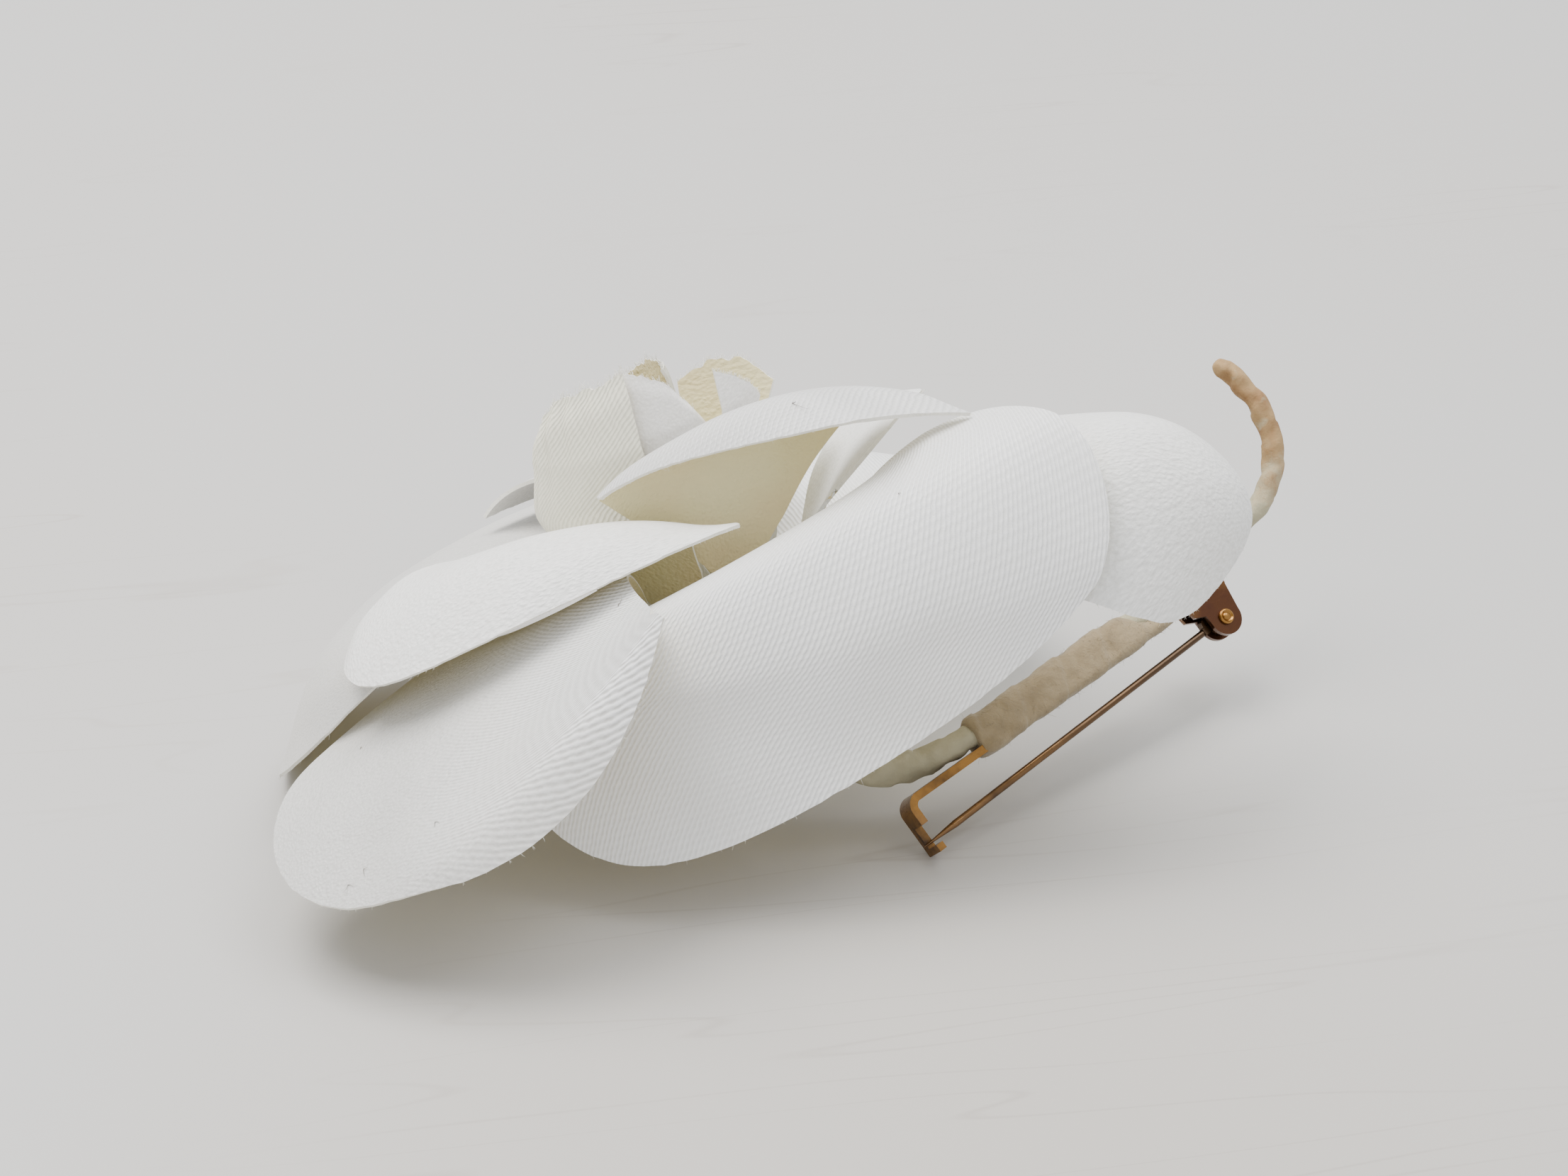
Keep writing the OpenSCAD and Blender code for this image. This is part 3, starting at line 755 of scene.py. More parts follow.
def threads_object(name, starts, ways, long, thick, seed):
    """Loose threads, each a thin bent strand from a start along its own way, in mm."""
    rng = np.random.default_rng(seed)
    points = []
    faces = []
    last = 3 * STRAND_STEPS
    for start, way in zip(starts, ways):
        reach = long * rng.uniform(STRAND_SHORTEST, 1)
        bend = rng.normal(0, STRAND_BEND, 3)
        side = unit(np.cross(way, rng.normal(0, 1, 3)))
        other = np.cross(way, side)
        base = len(points)
        for share in np.linspace(0, 1, STRAND_STEPS):
            at = start + way * reach * share + bend * reach * share * share
            r = thick * (1 - STRAND_TAPER * share)
            for a in STRAND_ANGLES:
                points.append(at + r * (side * math.cos(a) + other * math.sin(a)))
        for low in range(base, base + last - 3, 3):
            for a, b in ((0, 1), (1, 2), (2, 0)):
                faces.append((low + a, low + b, low + 3 + b, low + 3 + a))
        faces.append((base + 2, base + 1, base))
        faces.append((base + last - 3, base + last - 2, base + last - 1))
    return mesh_object(name, np.array(points), faces)


def fringe(name, grid, pick, long, thick, seed):
    """Loose threads that leave a grid's rim at the picked points."""
    way = unit(grid[-1] - grid[-3])
    return threads_object(name, grid[-1][pick], way[pick], long, thick, seed)


def feed(tree, value, socket):
    """Links a value to a socket, or sets it there where it is the same all over."""
    if isinstance(value, bpy.types.NodeSocket):
        tree.links.new(value, socket)
    else:
        socket.default_value = value


def add(tree, kind, inputs=None, **settings):
    """A shader node with its settings, and its inputs set or linked."""
    made = tree.nodes.new(kind)
    for name, value in settings.items():
        setattr(made, name, value)
    for name, value in (inputs or {}).items():
        feed(tree, value, made.inputs[name])
    return made


def math_node(tree, operation, *values):
    """One step of reckoning with values."""
    return add(tree, "ShaderNodeMath", dict(enumerate(values)), operation=operation).outputs[0]


def times(tree, one, two):
    """Two values multiplied."""
    return math_node(tree, "MULTIPLY", one, two)


def mixed(tree, share, one, two):
    """Two colours mixed by a share."""
    return add(tree, "ShaderNodeMix", {0: share, 6: one, 7: two}, data_type="RGBA").outputs[2]


def blended(tree, share, one, two):
    """Two numbers mixed by a share."""
    return add(tree, "ShaderNodeMix", {0: share, 2: one, 3: two}, data_type="FLOAT").outputs[0]


def spread(tree, value, low, high, to_low=0.0, to_high=1.0):
    """A value stretched from one range to another, held at its ends."""
    ranges = {0: value, 1: low, 2: high, 3: to_low, 4: to_high}
    return add(tree, "ShaderNodeMapRange", ranges).outputs[0]


def noisy(tree, places, scale, detail, **more):
    """Soft noise over places."""
    inputs = {"Vector": places, "Scale": scale, "Detail": detail, **more}
    return add(tree, "ShaderNodeTexNoise", inputs).outputs[0]


def flat_places(tree):
    """Places on the flat cloth, in mm."""
    return add(tree, "ShaderNodeUVMap", uv_map="flat_mm").outputs[0]


def own_places(tree):
    """Places in the object's own metres."""
    return add(tree, "ShaderNodeTexCoord").outputs["Object"]


def effect(name, inputs, outputs):
    """An empty shader group with named inputs and outputs."""
    tree = bpy.data.node_groups.new(name, "ShaderNodeTree")
    for label, default in inputs.items():
        socket = tree.interface.new_socket(label, in_out="INPUT", socket_type="NodeSocketFloat")
        socket.default_value = default
    for label in outputs:
        tree.interface.new_socket(label, in_out="OUTPUT", socket_type="NodeSocketFloat")
    return tree, tree.nodes.new("NodeGroupInput").outputs, tree.nodes.new("NodeGroupOutput").inputs


def placed(tree, name, **inputs):
    """A group placed in a material with its own values."""
    return add(tree, "ShaderNodeGroup", inputs, node_tree=bpy.data.node_groups[name]).outputs


def build_twill():
    """Fine slanting ribs of floated threads, on flat places in mm."""
    tree, given, out = effect("Satin twill", {"Pitch": 0.4, "Turn": 0.5}, ("Height", "Groove"))
    turn = {"Vector": flat_places(tree), "Angle": given["Turn"]}
    spun = add(tree, "ShaderNodeVectorRotate", turn, rotation_type="Z_AXIS").outputs[0]
    parts = add(tree, "ShaderNodeSeparateXYZ", {0: spun}).outputs
    wobble = times(tree, noisy(tree, spun, 0.9, 3), 0.7)
    across = math_node(tree, "DIVIDE", parts[0], given["Pitch"])
    across = math_node(tree, "ADD", across, wobble)
    ribs = math_node(tree, "SINE", times(tree, across, 2 * math.pi))
    along = math_node(tree, "DIVIDE", parts[1], given["Pitch"])
    step = times(tree, math_node(tree, "FLOOR", across), 0.38)
    float_at = math_node(tree, "ADD", times(tree, along, 0.45), step)
    floats = math_node(tree, "SINE", times(tree, float_at, 2 * math.pi))
    height = math_node(tree, "MULTIPLY_ADD", ribs, 0.36, 0.5)
    height = math_node(tree, "MULTIPLY_ADD", floats, 0.12, height)
    height = math_node(tree, "MULTIPLY_ADD", noisy(tree, spun, 5.0, 2), 0.25, height)
    feed(tree, height, out["Height"])
    feed(tree, spread(tree, height, 0.2, 0.75), out["Groove"])


def build_pebble():
    """Satin with a crushed, pebbled face, on flat places in mm."""
    tree, given, out = effect("Pebbled satin", {"Size": 0.5}, ("Height", "Groove"))
    flat = flat_places(tree)
    scale = math_node(tree, "DIVIDE", 1.0, given["Size"])
    cells = add(tree, "ShaderNodeTexVoronoi", {"Vector": flat, "Scale": scale, "Smoothness": 0.7},
                feature="SMOOTH_F1").outputs[0]
    fine = times(tree, noisy(tree, flat, scale, 4), 0.9)
    height = math_node(tree, "MULTIPLY_ADD", cells, -0.7, fine)
    feed(tree, height, out["Height"])
    feed(tree, spread(tree, height, -0.2, 0.35), out["Groove"])


def build_age():
    """Large soft stains and a few small specks, in the object's own metres."""
    tree, given, out = effect("Age", {"Size": 0.02, "Speck": 0.004}, ("Stain", "Specks"))
    place = own_places(tree)
    soft = noisy(tree, place, math_node(tree, "DIVIDE", 1.0, given["Size"]), 3)
    feed(tree, spread(tree, soft, 0.45, 0.75), out["Stain"])
    tight = math_node(tree, "DIVIDE", 1.0, given["Speck"])
    cells = add(tree, "ShaderNodeTexVoronoi", {"Vector": place, "Scale": tight}).outputs[0]
    feed(tree, spread(tree, cells, 0.05, 0.03), out["Specks"])


def build_fibre():
    """Matted fibres of felt and crepe, in the object's own metres."""
    tree, given, out = effect("Fibre", {"Size": 0.0004, "Stretch": 3.0}, ("Height", "Flecks"))
    place = own_places(tree)
    scale = math_node(tree, "DIVIDE", 1.0, given["Size"])
    matted = noisy(tree, place, scale, 5, Roughness=0.65, Distortion=1.2)
    clumps = noisy(tree, place, math_node(tree, "DIVIDE", scale, given["Stretch"]), 3)
    feed(tree, math_node(tree, "MULTIPLY_ADD", matted, 0.5, clumps), out["Height"])
    feed(tree, spread(tree, clumps, 0.6, 0.72), out["Flecks"])


def tinted(colour, *shares):
    """A colour whose channels are each scaled by a share."""
    return [min(1, c * f) for c, f in zip(colour, shares)] + [1]


def new_tree(name):
    """The empty node tree of a new material."""
    made = bpy.data.materials.new(name)
    made.use_nodes = True
    made.node_tree.nodes.clear()
    return made.node_tree


def surfaced(tree, tone, rough, height=None, relief=0.0, **fixed):
    """The surface of a material, its bump in metres and what is the same all over."""
    surface = tree.nodes.new("ShaderNodeBsdfPrincipled")
    feed(tree, surface.outputs[0], tree.nodes.new("ShaderNodeOutputMaterial").inputs[0])
    feed(tree, tone, surface.inputs["Base Color"])
    feed(tree, rough, surface.inputs["Roughness"])
    for label, value in fixed.items():
        surface.inputs[label.replace("_", " ")].default_value = value
    if height:
        bump = add(tree, "ShaderNodeBump", {"Height": height, "Distance": relief, "Strength": 1.0})
        feed(tree, bump.outputs[0], surface.inputs["Normal"])


def satin_material(name, colour, weave, turn, pitch, aged, tone=(1, 1, 1)):
    """Face of the satin: ribs or pebbles, faint stains, a low sheen and painted shade."""
    tree = new_tree(name)
    ribs, grain, relief = WEAVES[weave]
    # tone is painted shade: it darkens the satin of a petal turned from the light
    painted_shade_satin = tinted(colour, *tone)
    whole = painted_shade_satin
    pebbles = placed(tree, "Pebbled satin", Size=grain)
    height, groove = pebbles["Height"], pebbles["Groove"]
    if ribs:
        twill = placed(tree, "Satin twill", Pitch=pitch, Turn=math.radians(turn))
        across = add(tree, "ShaderNodeSeparateXYZ", {0: flat_places(tree)}).outputs[0]
        shown = spread(tree, across, *ribs)
        # A mixed weave fades the painted shade out across the petal, so that its lit side keeps the full
        # satin colour
        if weave == "mixed":
            whole = mixed(tree, shown, painted_shade_satin, list(colour))
        height = blended(tree, shown, height, twill["Height"])
        groove = blended(tree, shown, groove, twill["Groove"])
    age = placed(tree, "Age", Size=0.018, Speck=0.006)
    # Painted shade in the weave: the low parts of ribs and pebbles are darker
    painted_groove_shade = mixed(tree, groove, tinted(painted_shade_satin, 0.86, 0.86, 0.85), whole)
    worn = mixed(tree, times(tree, age["Stain"], aged), painted_groove_shade, STAIN_CREAM)
    surfaced(tree, worn, spread(tree, groove, 0, 1, 0.6, 0.38), height, relief,
             Specular_IOR_Level=0.5, Sheen_Weight=0.12, Sheen_Roughness=0.35)


def underside_material(name, colour):
    """Back of the satin: matt, sized cotton with a crushed grain."""
    tree = new_tree(name)
    fibre = placed(tree, "Fibre", Size=0.0006, Stretch=6.0)
    age = placed(tree, "Age", Size=0.012, Speck=0.0028)
    pebbles = placed(tree, "Pebbled satin", Size=0.33)
    tone = mixed(tree, age["Stain"], list(colour), tinted(colour, 0.97, 0.88, 0.86))
    tone = mixed(tree, times(tree, age["Specks"], 0.35), tone, SPECK_BROWN)
    surfaced(tree, tone, spread(tree, fibre["Height"], 0.4, 1.1, 0.95, 0.75),
             pebbles["Height"], 0.00009, Specular_IOR_Level=0.2)


def cut_material(name, colour):
    """Cut rim: light, with short fibre ends."""
    tree = new_tree(name)
    fibre = placed(tree, "Fibre", Size=0.0002, Stretch=2.0)
    tone = mixed(tree, fibre["Flecks"], list(colour), tinted(colour, 0.88, 0.88, 0.88))
    surfaced(tree, tone, spread(tree, fibre["Height"], 0.4, 1.1, 0.9, 0.7), fibre["Height"], 0.00004)


def crepe_material(name, colour, aged, long):
    """Crepe tape of the stem, browned towards the stem's end."""
    tree = new_tree(name)
    along = add(tree, "ShaderNodeSeparateXYZ", {0: flat_places(tree)}).outputs[1]
    fibre = placed(tree, "Fibre", Size=0.0005, Stretch=4.0)
    age = placed(tree, "Age", Size=0.0022, Speck=0.002)
    patch = math_node(tree, "MULTIPLY_ADD", fibre["Height"], BROWN_PATCH, along)
    brown = spread(tree, patch, long - BROWN_FROM, long - BROWN_FULL)
    tone = mixed(tree, brown, list(colour), list(aged))
    tone = mixed(tree, times(tree, age["Stain"], brown), tone, tinted(aged, 0.66, 0.52, 0.45))
    tone = mixed(tree, times(tree, fibre["Flecks"], 0.6), tone, tinted(colour, 1.18, 1.18, 1.18))
    surfaced(tree, tone, spread(tree, fibre["Height"], 0.4, 1.2, 0.9, 0.65),
             fibre["Height"], 0.00015, Specular_IOR_Level=0.3)


def felt_material(name, colour):
    """Matted binding tape with dark flecks."""
    tree = new_tree(name)
    fibre = placed(tree, "Fibre", Size=0.00045, Stretch=3.0)
    age = placed(tree, "Age", Size=0.0016, Speck=0.0016)
    matted = spread(tree, fibre["Height"], 0.5, 1.0)
    tone = mixed(tree, matted, tinted(colour, 1.22, 1.22, 1.22), list(colour))
    tone = mixed(tree, times(tree, age["Stain"], 0.45), tone, tinted(colour, 0.60, 0.55, 0.48))
    tone = mixed(tree, times(tree, age["Specks"], 0.4), tone, FELT_SPECK)
    surfaced(tree, tone, spread(tree, fibre["Height"], 0.4, 1.1, 0.98, 0.85),
             fibre["Height"], 0.0002, Specular_IOR_Level=0.15, Sheen_Weight=0.3)


def metal_material(name, clean, stained, hot, reach, share, face_shade):
    """Worn plating: clean metal, dark tarnish in patches, another tone from the hinge out, and painted
    shade on the bar's broad faces.
    """
    tree = new_tree(name)
    age = placed(tree, "Age", Size=0.0035, Speck=0.0015)
    fine = placed(tree, "Age", Size=0.0008, Speck=0.0015)
    hinge = laid(from_pin((PIN_REACH, 0, 0)))
    far = add(tree, "ShaderNodeVectorMath", {0: own_places(tree), 1: tuple(hinge)},
              operation="DISTANCE").outputs["Value"]
    near = spread(tree, far, reach[1], reach[0])
    tarnish = math_node(tree, "MULTIPLY_ADD", fine["Stain"], 0.4, age["Stain"])
    tarnish = times(tree, tarnish, share)
    tone = mixed(tree, tarnish, list(clean), list(stained))
    tone = mixed(tree, times(tree, near, 0.85), tone, list(hot))
    # Painted shade: the faces turned along the bar's thickness, its broad faces, are greyed by how they
    # face
    up = laid(from_bar((0, 0, 1)) - from_bar((0, 0, 0))) - laid((0, 0, 0))
    normal = add(tree, "ShaderNodeNewGeometry").outputs["Normal"]
    facing = add(tree, "ShaderNodeVectorMath", {0: normal, 1: tuple(up / MM)},
                 operation="DOT_PRODUCT").outputs["Value"]
    flat = times(tree, math_node(tree, "ABSOLUTE", facing), face_shade)
    tone = mixed(tree, flat, tone, PAINTED_FACE_SHADE)
    surfaced(tree, tone, spread(tree, tarnish, 0, 1, 0.26, 0.5), tarnish, 0.00003,
             Metallic=0.9, Coat_Weight=0.25, Coat_Roughness=0.15)


def table_material(name, colour):
    """Pale table with faint clouds, fine scratches and a few marks."""
    tree = new_tree(name)
    place = own_places(tree)
    clouds = noisy(tree, place, 9.0, 4)
    wide = noisy(tree, place, 4.0, 2)
    tone = mixed(tree, spread(tree, clouds, 0.35, 0.7), list(colour), tinted(colour, 1.02, 0.985, 0.955))
    tone = mixed(tree, spread(tree, wide, 0.5, 0.75), tone, TABLE_WARM)
    for angle, thin in ((0.3, 0.004), (2.0, 0.003)):
        turn = {"Vector": place, "Rotation": (0, 0, angle), "Scale": (4, 60, 1)}
        lines = noisy(tree, add(tree, "ShaderNodeMapping", turn).outputs[0], 1.0, 2)
        off = math_node(tree, "ABSOLUTE", math_node(tree, "SUBTRACT", lines, 0.5))
        mark = times(tree, spread(tree, off, thin, 0), spread(tree, clouds, 0.5, 0.62))
        tone = mixed(tree, times(tree, mark, 0.3), tone, TABLE_MARK)
    surfaced(tree, tone, spread(tree, clouds, 0.3, 0.7, 0.5, 0.38), Specular_IOR_Level=0.35)


def dress(piece, materials, replaced=(), body="flower"):
    """Gives a piece its materials and body, and hides the nodes that it stands for."""
    for one in materials:
        piece.data.materials.append(bpy.data.materials[one])
    if replaced:
        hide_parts(*replaced)
    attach(piece, body)


class BROOCH_OT_stage(bpy.types.Operator):
    """Table, light and camera."""

    bl_idname = "brooch.stage"
    bl_label = "Stage"

    def execute(self, context):
        scene = context.scene
        settings = scene.brooch_stage
        bpy.ops.mesh.primitive_plane_add(size=TABLE_SIZE, location=(0, 0, 0))
        table = context.object
        table.name = "table"
        table_material("Pale table", settings.table)
        table.data.materials.append(bpy.data.materials["Pale table"])
        for name, at, power, colour in LAMPS:
            light = bpy.data.lights.new(name, "AREA")
            light.shape = "RECTANGLE"
            light.size = LAMP_WIDE
            light.size_y = LAMP_DEEP
            light.energy = getattr(settings, power)
            light.color = colour
            lamp = bpy.data.objects.new(name, light)
            lamp.location = at
            lamp.rotation_euler = (LAMP_AIM - lamp.location).to_track_quat("-Z", "Y").to_euler()
            scene.collection.objects.link(lamp)
        scene.world = bpy.data.worlds.new("room")
        scene.world.use_nodes = True
        back = scene.world.node_tree.nodes["Background"]
        back.inputs[0].default_value = ROOM
        back.inputs[1].default_value = settings.fill
        lens = bpy.data.cameras.new("camera")
        lens.lens = CAMERA_LENS
        lens.sensor_width = CAMERA_SENSOR
        lens.clip_start = CAMERA_NEAR
        camera = bpy.data.objects.new("camera", lens)
        camera.location = CAMERA_AT
        camera.rotation_euler = [math.radians(a) for a in CAMERA_TURN]
        scene.collection.objects.link(camera)
        scene.camera = camera
        return {"FINISHED"}


class BROOCH_OT_materials(bpy.types.Operator):
    """Shared effects and the materials of cloth, tape and metal."""

    bl_idname = "brooch.materials"
    bl_label = "Materials"

    def execute(self, context):
        cloth = context.scene.brooch_cloth
        stem = context.scene.brooch_stem
        metal = context.scene.brooch_metal
        build_twill()
        build_pebble()
        build_age()
        build_fibre()
        for petal in PETALS:
            # petal.tone is painted shade, for the petals turned from the light
            satin_material("Satin of " + petal.node, cloth.satin, petal.weave, petal.turn,
                           cloth.twill, PETAL_AGED, petal.tone)
        # cloth.bud holds painted glow of light through the thin wraps as well as their cream
        satin_material("Satin of bud", cloth.bud, "fine", BUD_TURN, BUD_PITCH * cloth.twill, BUD_AGED)
        satin_material("Satin of bud middle", cloth.inner, "plain", 0, cloth.twill, INNER_AGED)
        underside_material("Underside", cloth.underside)
        cut_material("Cut edge", cloth.cut)
        cut_material("Lint", LINT_GREY)
        crepe_material("Crepe tape", stem.crepe, stem.aged, stem_length())
        felt_material("Binding tape", stem.binding)
        felt_material("Base cloth", stem.crepe)
        for name, clean, hot, reach, share, face_shade in METALS:
            tones = (getattr(metal, clean), metal.tarnish, getattr(metal, hot))
            metal_material(name, *tones, reach, share, face_shade)
        return {"FINISHED"}


def lint_on(petal, grid, wall):
    """The bits of lint that lie on a petal."""
    rows, cols = grid.shape[:2]
    for count, (node, along, across, long) in enumerate(LINT):
        if node != petal.node:
            continue
        i = int(along * (rows - 1))
        j = int(across * (cols - 1))
        ways = (unit(grid[i, j + 1] - grid[i, j]), unit(grid[i + 1, j] - grid[i, j]))
        over = grid[i, j] + normals_of(grid)[i, j] * (wall / 2 + LINT_LIFT)
        bit = threads_object(f"lint_{count}", (over, over), ways, long, LINT_THICK, LINT_SEED + count)
        dress(bit, ("Lint",))


class BROOCH_OT_petals(bpy.types.Operator):
    """Ten curved petals of starched satin, with uneven cut rims."""

    bl_idname = "brooch.petals"
    bl_label = "Petals"

    def execute(self, context):
        wall = context.scene.brooch_cloth.wall / MM
        for number, petal in enumerate(PETALS):
            grid, places = petal_grid(petal)
            if petal.node == TUCKED:
                grid = tucked(grid, places)
            grid = waved(grid, places, WAVE_SHIFT * number)
            grid = nicked(grid, NICK_DEPTH, number)
            piece = cloth_object("satin_" + petal.node, grid, places, wall, True)
            back = SATIN_BACKS.get(petal.node, "Underside")
            dress(piece, ("Satin of " + petal.node, back, "Cut edge"), (petal.node,))
            rng = np.random.default_rng(FRAY_SEED + number)
            cols = grid.shape[1]
            pick = rng.integers(2, cols - 2, FRAY_COUNT)
            if petal.node == WORN:
                low, high = (int(share * cols) for share in WORN_SHARES)
                pick = np.concatenate((pick, rng.integers(low, high, WORN_COUNT)))
            hairs = fringe("fray_" + petal.node, grid, pick, FRAY_LONG, FRAY_THICK, number)
            dress(hairs, ("Cut edge",))
            lint_on(petal, grid, wall)
        return {"FINISHED"}


class BROOCH_OT_bud(bpy.types.Operator):
    """Rolled bud with ragged, curled edges and loose threads."""

    bl_idname = "brooch.bud"
    bl_label = "Bud"

    def execute(self, context):
        wall = context.scene.brooch_cloth.wall / MM
        for number, wrap in enumerate(WRAPS):
            grid, places = wrap_grid(wrap)
            grid = nicked(grid, WRAP_NICK * wrap.ragged, WRAP_NICK_SEED + number)
            piece = cloth_object("satin_" + wrap.node, grid, places, wall, False)
            face = "Satin of bud" if wrap.node in CREAM_WRAPS else "Satin of bud middle"
            dress(piece, (face, "Underside", "Cut edge"), (wrap.node,))
            rng = np.random.default_rng(THREAD_SEED + number)
            count = int(THREAD_COUNT + THREAD_MORE * wrap.ragged)
            pick = rng.integers(0, grid.shape[1], count)
            long = THREAD_LONGER * wrap.ragged + THREAD_LONG
            hairs = fringe("threads_" + wrap.node, grid, pick, long, THREAD_THICK, number)
            dress(hairs, ("Cut edge",))
        return {"FINISHED"}


def curve_rows(rows, parts):
    """A smooth curve through rows of numbers, with a given count of parts in each span."""
    rows = np.array(rows, float)
    n = len(rows)
    out = []
    for i in range(n - 1):
        a, b, c, d = (rows[max(i - 1, 0)], rows[i], rows[i + 1], rows[min(i + 2, n - 1)])
        for k in range(parts):
            u = k / parts
            bend = (2 * a - 5 * b + 4 * c - d) * u * u + (3 * b - a - 3 * c + d) * u ** 3
            out.append(0.5 * (2 * b + (c - a) * u + bend))
    out.append(rows[-1])
    return np.array(out)


def stem_route():
    """Centre line and radius of the stem, in mm."""
    bound = []
    for k in range(BOUND_ROWS + 1):
        x = TAPE_FROM + (TAPE_SPLIT - TAPE_FROM) * k / BOUND_ROWS
        bound.append((*from_bar((x, 0, STEM_UP)), STEM_BOUND_R))
    past = from_bar((TAPE_SPLIT + STEM_RISE_RUN, 0, STEM_UP + STEM_RISE))
    return curve_rows((*STEM_ROOT, *bound, (*past, STEM_BOUND_R), *STEM_TAIL), STEM_PARTS)


def stem_length():
    """Length of the stem's centre line, in mm."""
    return float(np.linalg.norm(np.diff(stem_route()[:, :3], axis=0), axis=1).sum())


class BROOCH_OT_stem(bpy.types.Operator):
    """Wire stem wound with crepe tape, with a lumpy free tail."""

    bl_idname = "brooch.stem"
    bl_label = "Stem"

    def execute(self, context):
        route = stem_route()
        path = route[:, :3]
        step = np.linalg.norm(np.diff(path, axis=0), axis=1)
        along = np.concatenate(([0], np.cumsum(step)))
        side, up = carried(path)
        around = ring_angles(STEM_SIDES)
        ways = ring_ways(around)
        rings = []
        for i, at in enumerate(along):
            lump = lumps(ways, CREPE_LUMP_ROUND, at / CREPE_LUMP_ALONG)
            lap = overlap(at / CREPE_WRAP - around / (2 * np.pi), *CREPE_LAP)
            radius = route[i, 3] * (CREPE_SLIM + CREPE_LUMP * lump) + lap
            closing = math.sqrt(min(1, (along[-1] - at) / TIP_RUN))
            radius *= TIP_LEAST + (1 - TIP_LEAST) * closing
            rings.append(path[i] + radius[:, None] * (ways @ np.stack((side[i], up[i]))))
        u, v = np.meshgrid(around, along)
        piece = rings_object("stem_crepe", rings, np.stack((u, v), axis=-1))
        dress(piece, ("Crepe tape",), ("stem",))
        return {"FINISHED"}


def bound_outline(margin, share, count):
    """Outline round bar and stem, in mm. The stem is let go as its share falls to none."""
    way = ring_ways(ring_angles(count))
    edge = BAR_WIDTH / 2 - BAR_ROUND
    thin = BAR_THICK / 2
    rounds = (((-edge, 0), thin + margin), ((edge, 0), thin + margin),
              ((0, STEM_UP * share), thin + (STEM_BOUND_R - thin) * share + margin))
    reach = np.array([way @ np.array(centre) + r for centre, r in rounds])
    best = reach.argmax(axis=0)
    points = np.array([np.array(rounds[k][0]) + rounds[k][1] * w for k, w in zip(best, way)])
    closed = np.concatenate((points, points[:1]))
    step = np.linalg.norm(np.diff(closed, axis=0), axis=1)
    gone = np.concatenate(([0], np.cumsum(step)))
    at = np.linspace(0, gone[-1], count, endpoint=False)
    return np.stack([np.interp(at, gone, closed[:, k]) for k in range(2)], axis=1)


class BROOCH_OT_tape(bpy.types.Operator):
    """Felted tape wound round stem and bar, and on along the bar to the hinge."""

    bl_idname = "brooch.tape"
    bl_label = "Tape"

    def execute(self, context):
        around = np.arange(TAPE_SIDES) / TAPE_SIDES
        rings = []
        places = []
        for x in np.arange(TAPE_FROM, TAPE_TO, TAPE_STEP):
            share = 1 - smooth((x - LET_GO[0]) / LET_GO[1])
            taper = 1 - THINNED * smooth((x - THINS[0]) / THINS[1])
            outline = bound_outline(TAPE_WALL * taper, share, TAPE_SIDES)
            middle = outline.mean(axis=0)
            out = unit(outline - middle)
            done = x - TAPE_FROM
            lap = overlap(done / TAPE_WRAP - around, *TAPE_LAP)
            lap *= TAPE_LAP_LEAST + (1 - TAPE_LAP_LEAST) * share
            roll = TAPE_ROLL * math.exp(-(done - TAPE_ROLL_AT) ** 2)
            start = min(1, TAPE_START + (1 - TAPE_START) * done / TAPE_START_RUN)
            rise = lap + TAPE_LUMP * lumps(outline, TAPE_LUMP_ROUND, TAPE_LUMP_ALONG * x) + roll
            shaped = middle + (outline - middle) * start + out * rise[:, None]
            level = np.full(TAPE_SIDES, x)
            rings.append(from_bar(np.column_stack((level, -shaped[:, 0], shaped[:, 1]))))
            places.append(np.column_stack((around * TAPE_GIRTH, level)))
        piece = rings_object("tape_felt", rings, places)
        dress(piece, ("Binding tape",), ("tape",))
        skin = np.array(rings)
        rng = np.random.default_rng(FIBRE_SEEDS[0])
        row = rng.integers(0, len(skin) - 1, FIBRE_COUNT)
        col = rng.integers(0, TAPE_SIDES, FIBRE_COUNT)
        starts = skin[row, col]
        ways = unit(starts - skin[row].mean(axis=1))
        ways = unit(ways * FIBRE_OUT + rng.normal(0, FIBRE_SPREAD, ways.shape))
        hairs = threads_object("tape_fibres", starts, ways, FIBRE_LONG, FIBRE_THICK, FIBRE_SEEDS[1])
        dress(hairs, ("Binding tape",))
        return {"FINISHED"}


class BROOCH_OT_base(bpy.types.Operator):
    """Gathered cloth knob that holds the petals and takes the stem."""

    bl_idname = "brooch.base"
    bl_label = "Base"

    def execute(self, context):
        around = ring_angles(BASE_SIDES)
        rings = []
        places = []
        for r, h in curve_rows(BASE_OUTLINE, BASE_PARTS):
            pleats = np.abs(np.sin(BASE_PLEATS * around + h)) * min(1, r / BASE_PLEAT_FULL)
            out = r * (1 - BASE_PLEAT_DEPTH * pleats)
            level = np.full(BASE_SIDES, h)
            rings.append(pressed(np.column_stack((out[:, None] * ring_ways(around), level))))
            places.append(np.column_stack((around * BASE_GIRTH, level)))
        piece = rings_object("base_cloth", rings, places)
        dress(piece, ("Base cloth",), ("flower_base",))
        return {"FINISHED"}


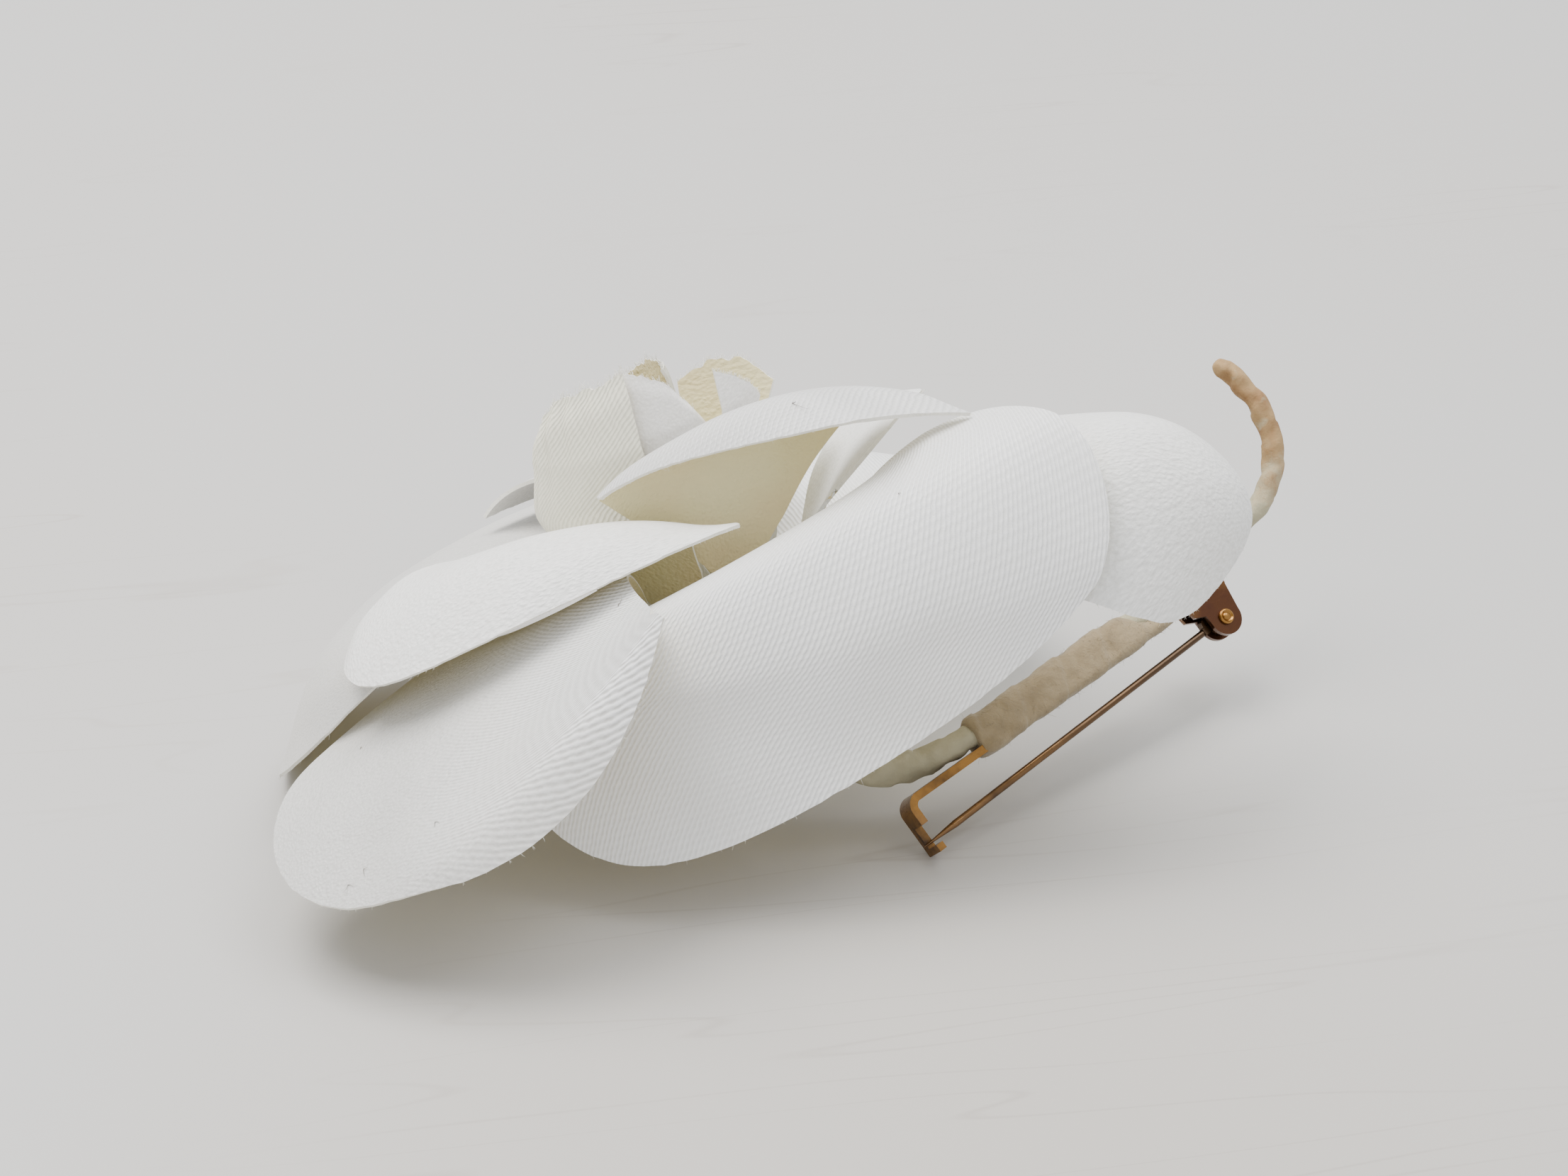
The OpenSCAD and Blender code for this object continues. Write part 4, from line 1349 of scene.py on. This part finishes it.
class BROOCH_OT_bar_pin(bpy.types.Operator):
    """Gilt bar with eased edges, ringed rivet and brown pin wire."""

    bl_idname = "brooch.bar_pin"
    bl_label = "Bar pin"

    def execute(self, context):
        strip = bmesh.new()
        strip.from_mesh(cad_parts["bar"].data)
        bmesh.ops.remove_doubles(strip, verts=strip.verts, dist=WELD)
        bmesh.ops.dissolve_limit(strip, angle_limit=FLAT_ANGLE, verts=strip.verts, edges=strip.edges)
        mesh = bpy.data.meshes.new("bar_strip")
        strip.to_mesh(mesh)
        strip.free()
        mesh.polygons.foreach_set("use_smooth", [True] * len(mesh.polygons))
        mesh.set_sharp_from_angle(angle=BAR_SHARP)
        bar = bpy.data.objects.new("bar_strip", mesh)
        context.scene.collection.objects.link(bar)
        eased = bar.modifiers.new("eased edges", "BEVEL")
        eased.width = EASED_EDGE
        eased.segments = EASED_STEPS
        eased.limit_method = "ANGLE"
        eased.angle_limit = BAR_SHARP
        dress(bar, ("Gilt",), ("bar",))
        around = ring_angles(RIVET_SIDES)
        end = RIVET_HEAD_AT + RIVET_HEAD_THICK
        profile = [(r, -(end + h)) for r, h in RIVET_RINGS]
        profile += [(r, end + h) for r, h in reversed(RIVET_RINGS)]
        rings = []
        for r, y in profile:
            level = np.full(RIVET_SIDES, y)
            ring = np.column_stack((PIN_REACH + r * np.cos(around), level, r * np.sin(around)))
            rings.append(from_pin(ring))
        u, v = np.meshgrid(around, np.arange(len(profile)))
        rivet = rings_object("rivet_ring", rings, np.stack((u, v), axis=-1))
        rivet.data.set_sharp_from_angle(angle=SHARP)
        dress(rivet, ("Rivet brass",), ("rivet",))
        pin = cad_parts["pin"]
        pin.data.materials.clear()
        pin.data.materials.append(bpy.data.materials["Pin wire"])
        return {"FINISHED"}


PIECES = (
    BROOCH_OT_stage, BROOCH_OT_materials, BROOCH_OT_petals, BROOCH_OT_bud, BROOCH_OT_stem,
    BROOCH_OT_tape, BROOCH_OT_base, BROOCH_OT_bar_pin,
)
SETTINGS = {
    "brooch_cloth": ClothSettings,
    "brooch_stem": StemSettings,
    "brooch_metal": MetalSettings,
    "brooch_stage": StageSettings,
}


class BROOCH_PT_panel(bpy.types.Panel):
    """Lists the brooch's settings and pieces."""

    bl_label = "Brooch"
    bl_space_type = "VIEW_3D"
    bl_region_type = "UI"
    bl_category = "Brooch"

    def draw(self, context):
        for group in SETTINGS:
            settings = getattr(context.scene, group)
            for name in settings.__annotations__:
                self.layout.prop(settings, name)
        for piece in PIECES:
            self.layout.operator(piece.bl_idname)


CLASSES = (*SETTINGS.values(), *PIECES, BROOCH_PT_panel)


def register():
    """Registers the classes and hangs the settings on the scene."""
    for one in CLASSES:
        bpy.utils.register_class(one)
    for name, settings in SETTINGS.items():
        setattr(bpy.types.Scene, name, PointerProperty(type=settings))


def unregister():
    """Takes the settings and the classes away again."""
    for name in SETTINGS:
        delattr(bpy.types.Scene, name)
    for one in reversed(CLASSES):
        bpy.utils.unregister_class(one)


def main():
    """Makes the whole brooch."""
    register()
    bpy.ops.brooch.stage()
    bpy.ops.brooch.materials()
    bpy.ops.brooch.petals()
    bpy.ops.brooch.bud()
    bpy.ops.brooch.stem()
    bpy.ops.brooch.tape()
    bpy.ops.brooch.base()
    bpy.ops.brooch.bar_pin()


if __name__ == "__main__":
    main()
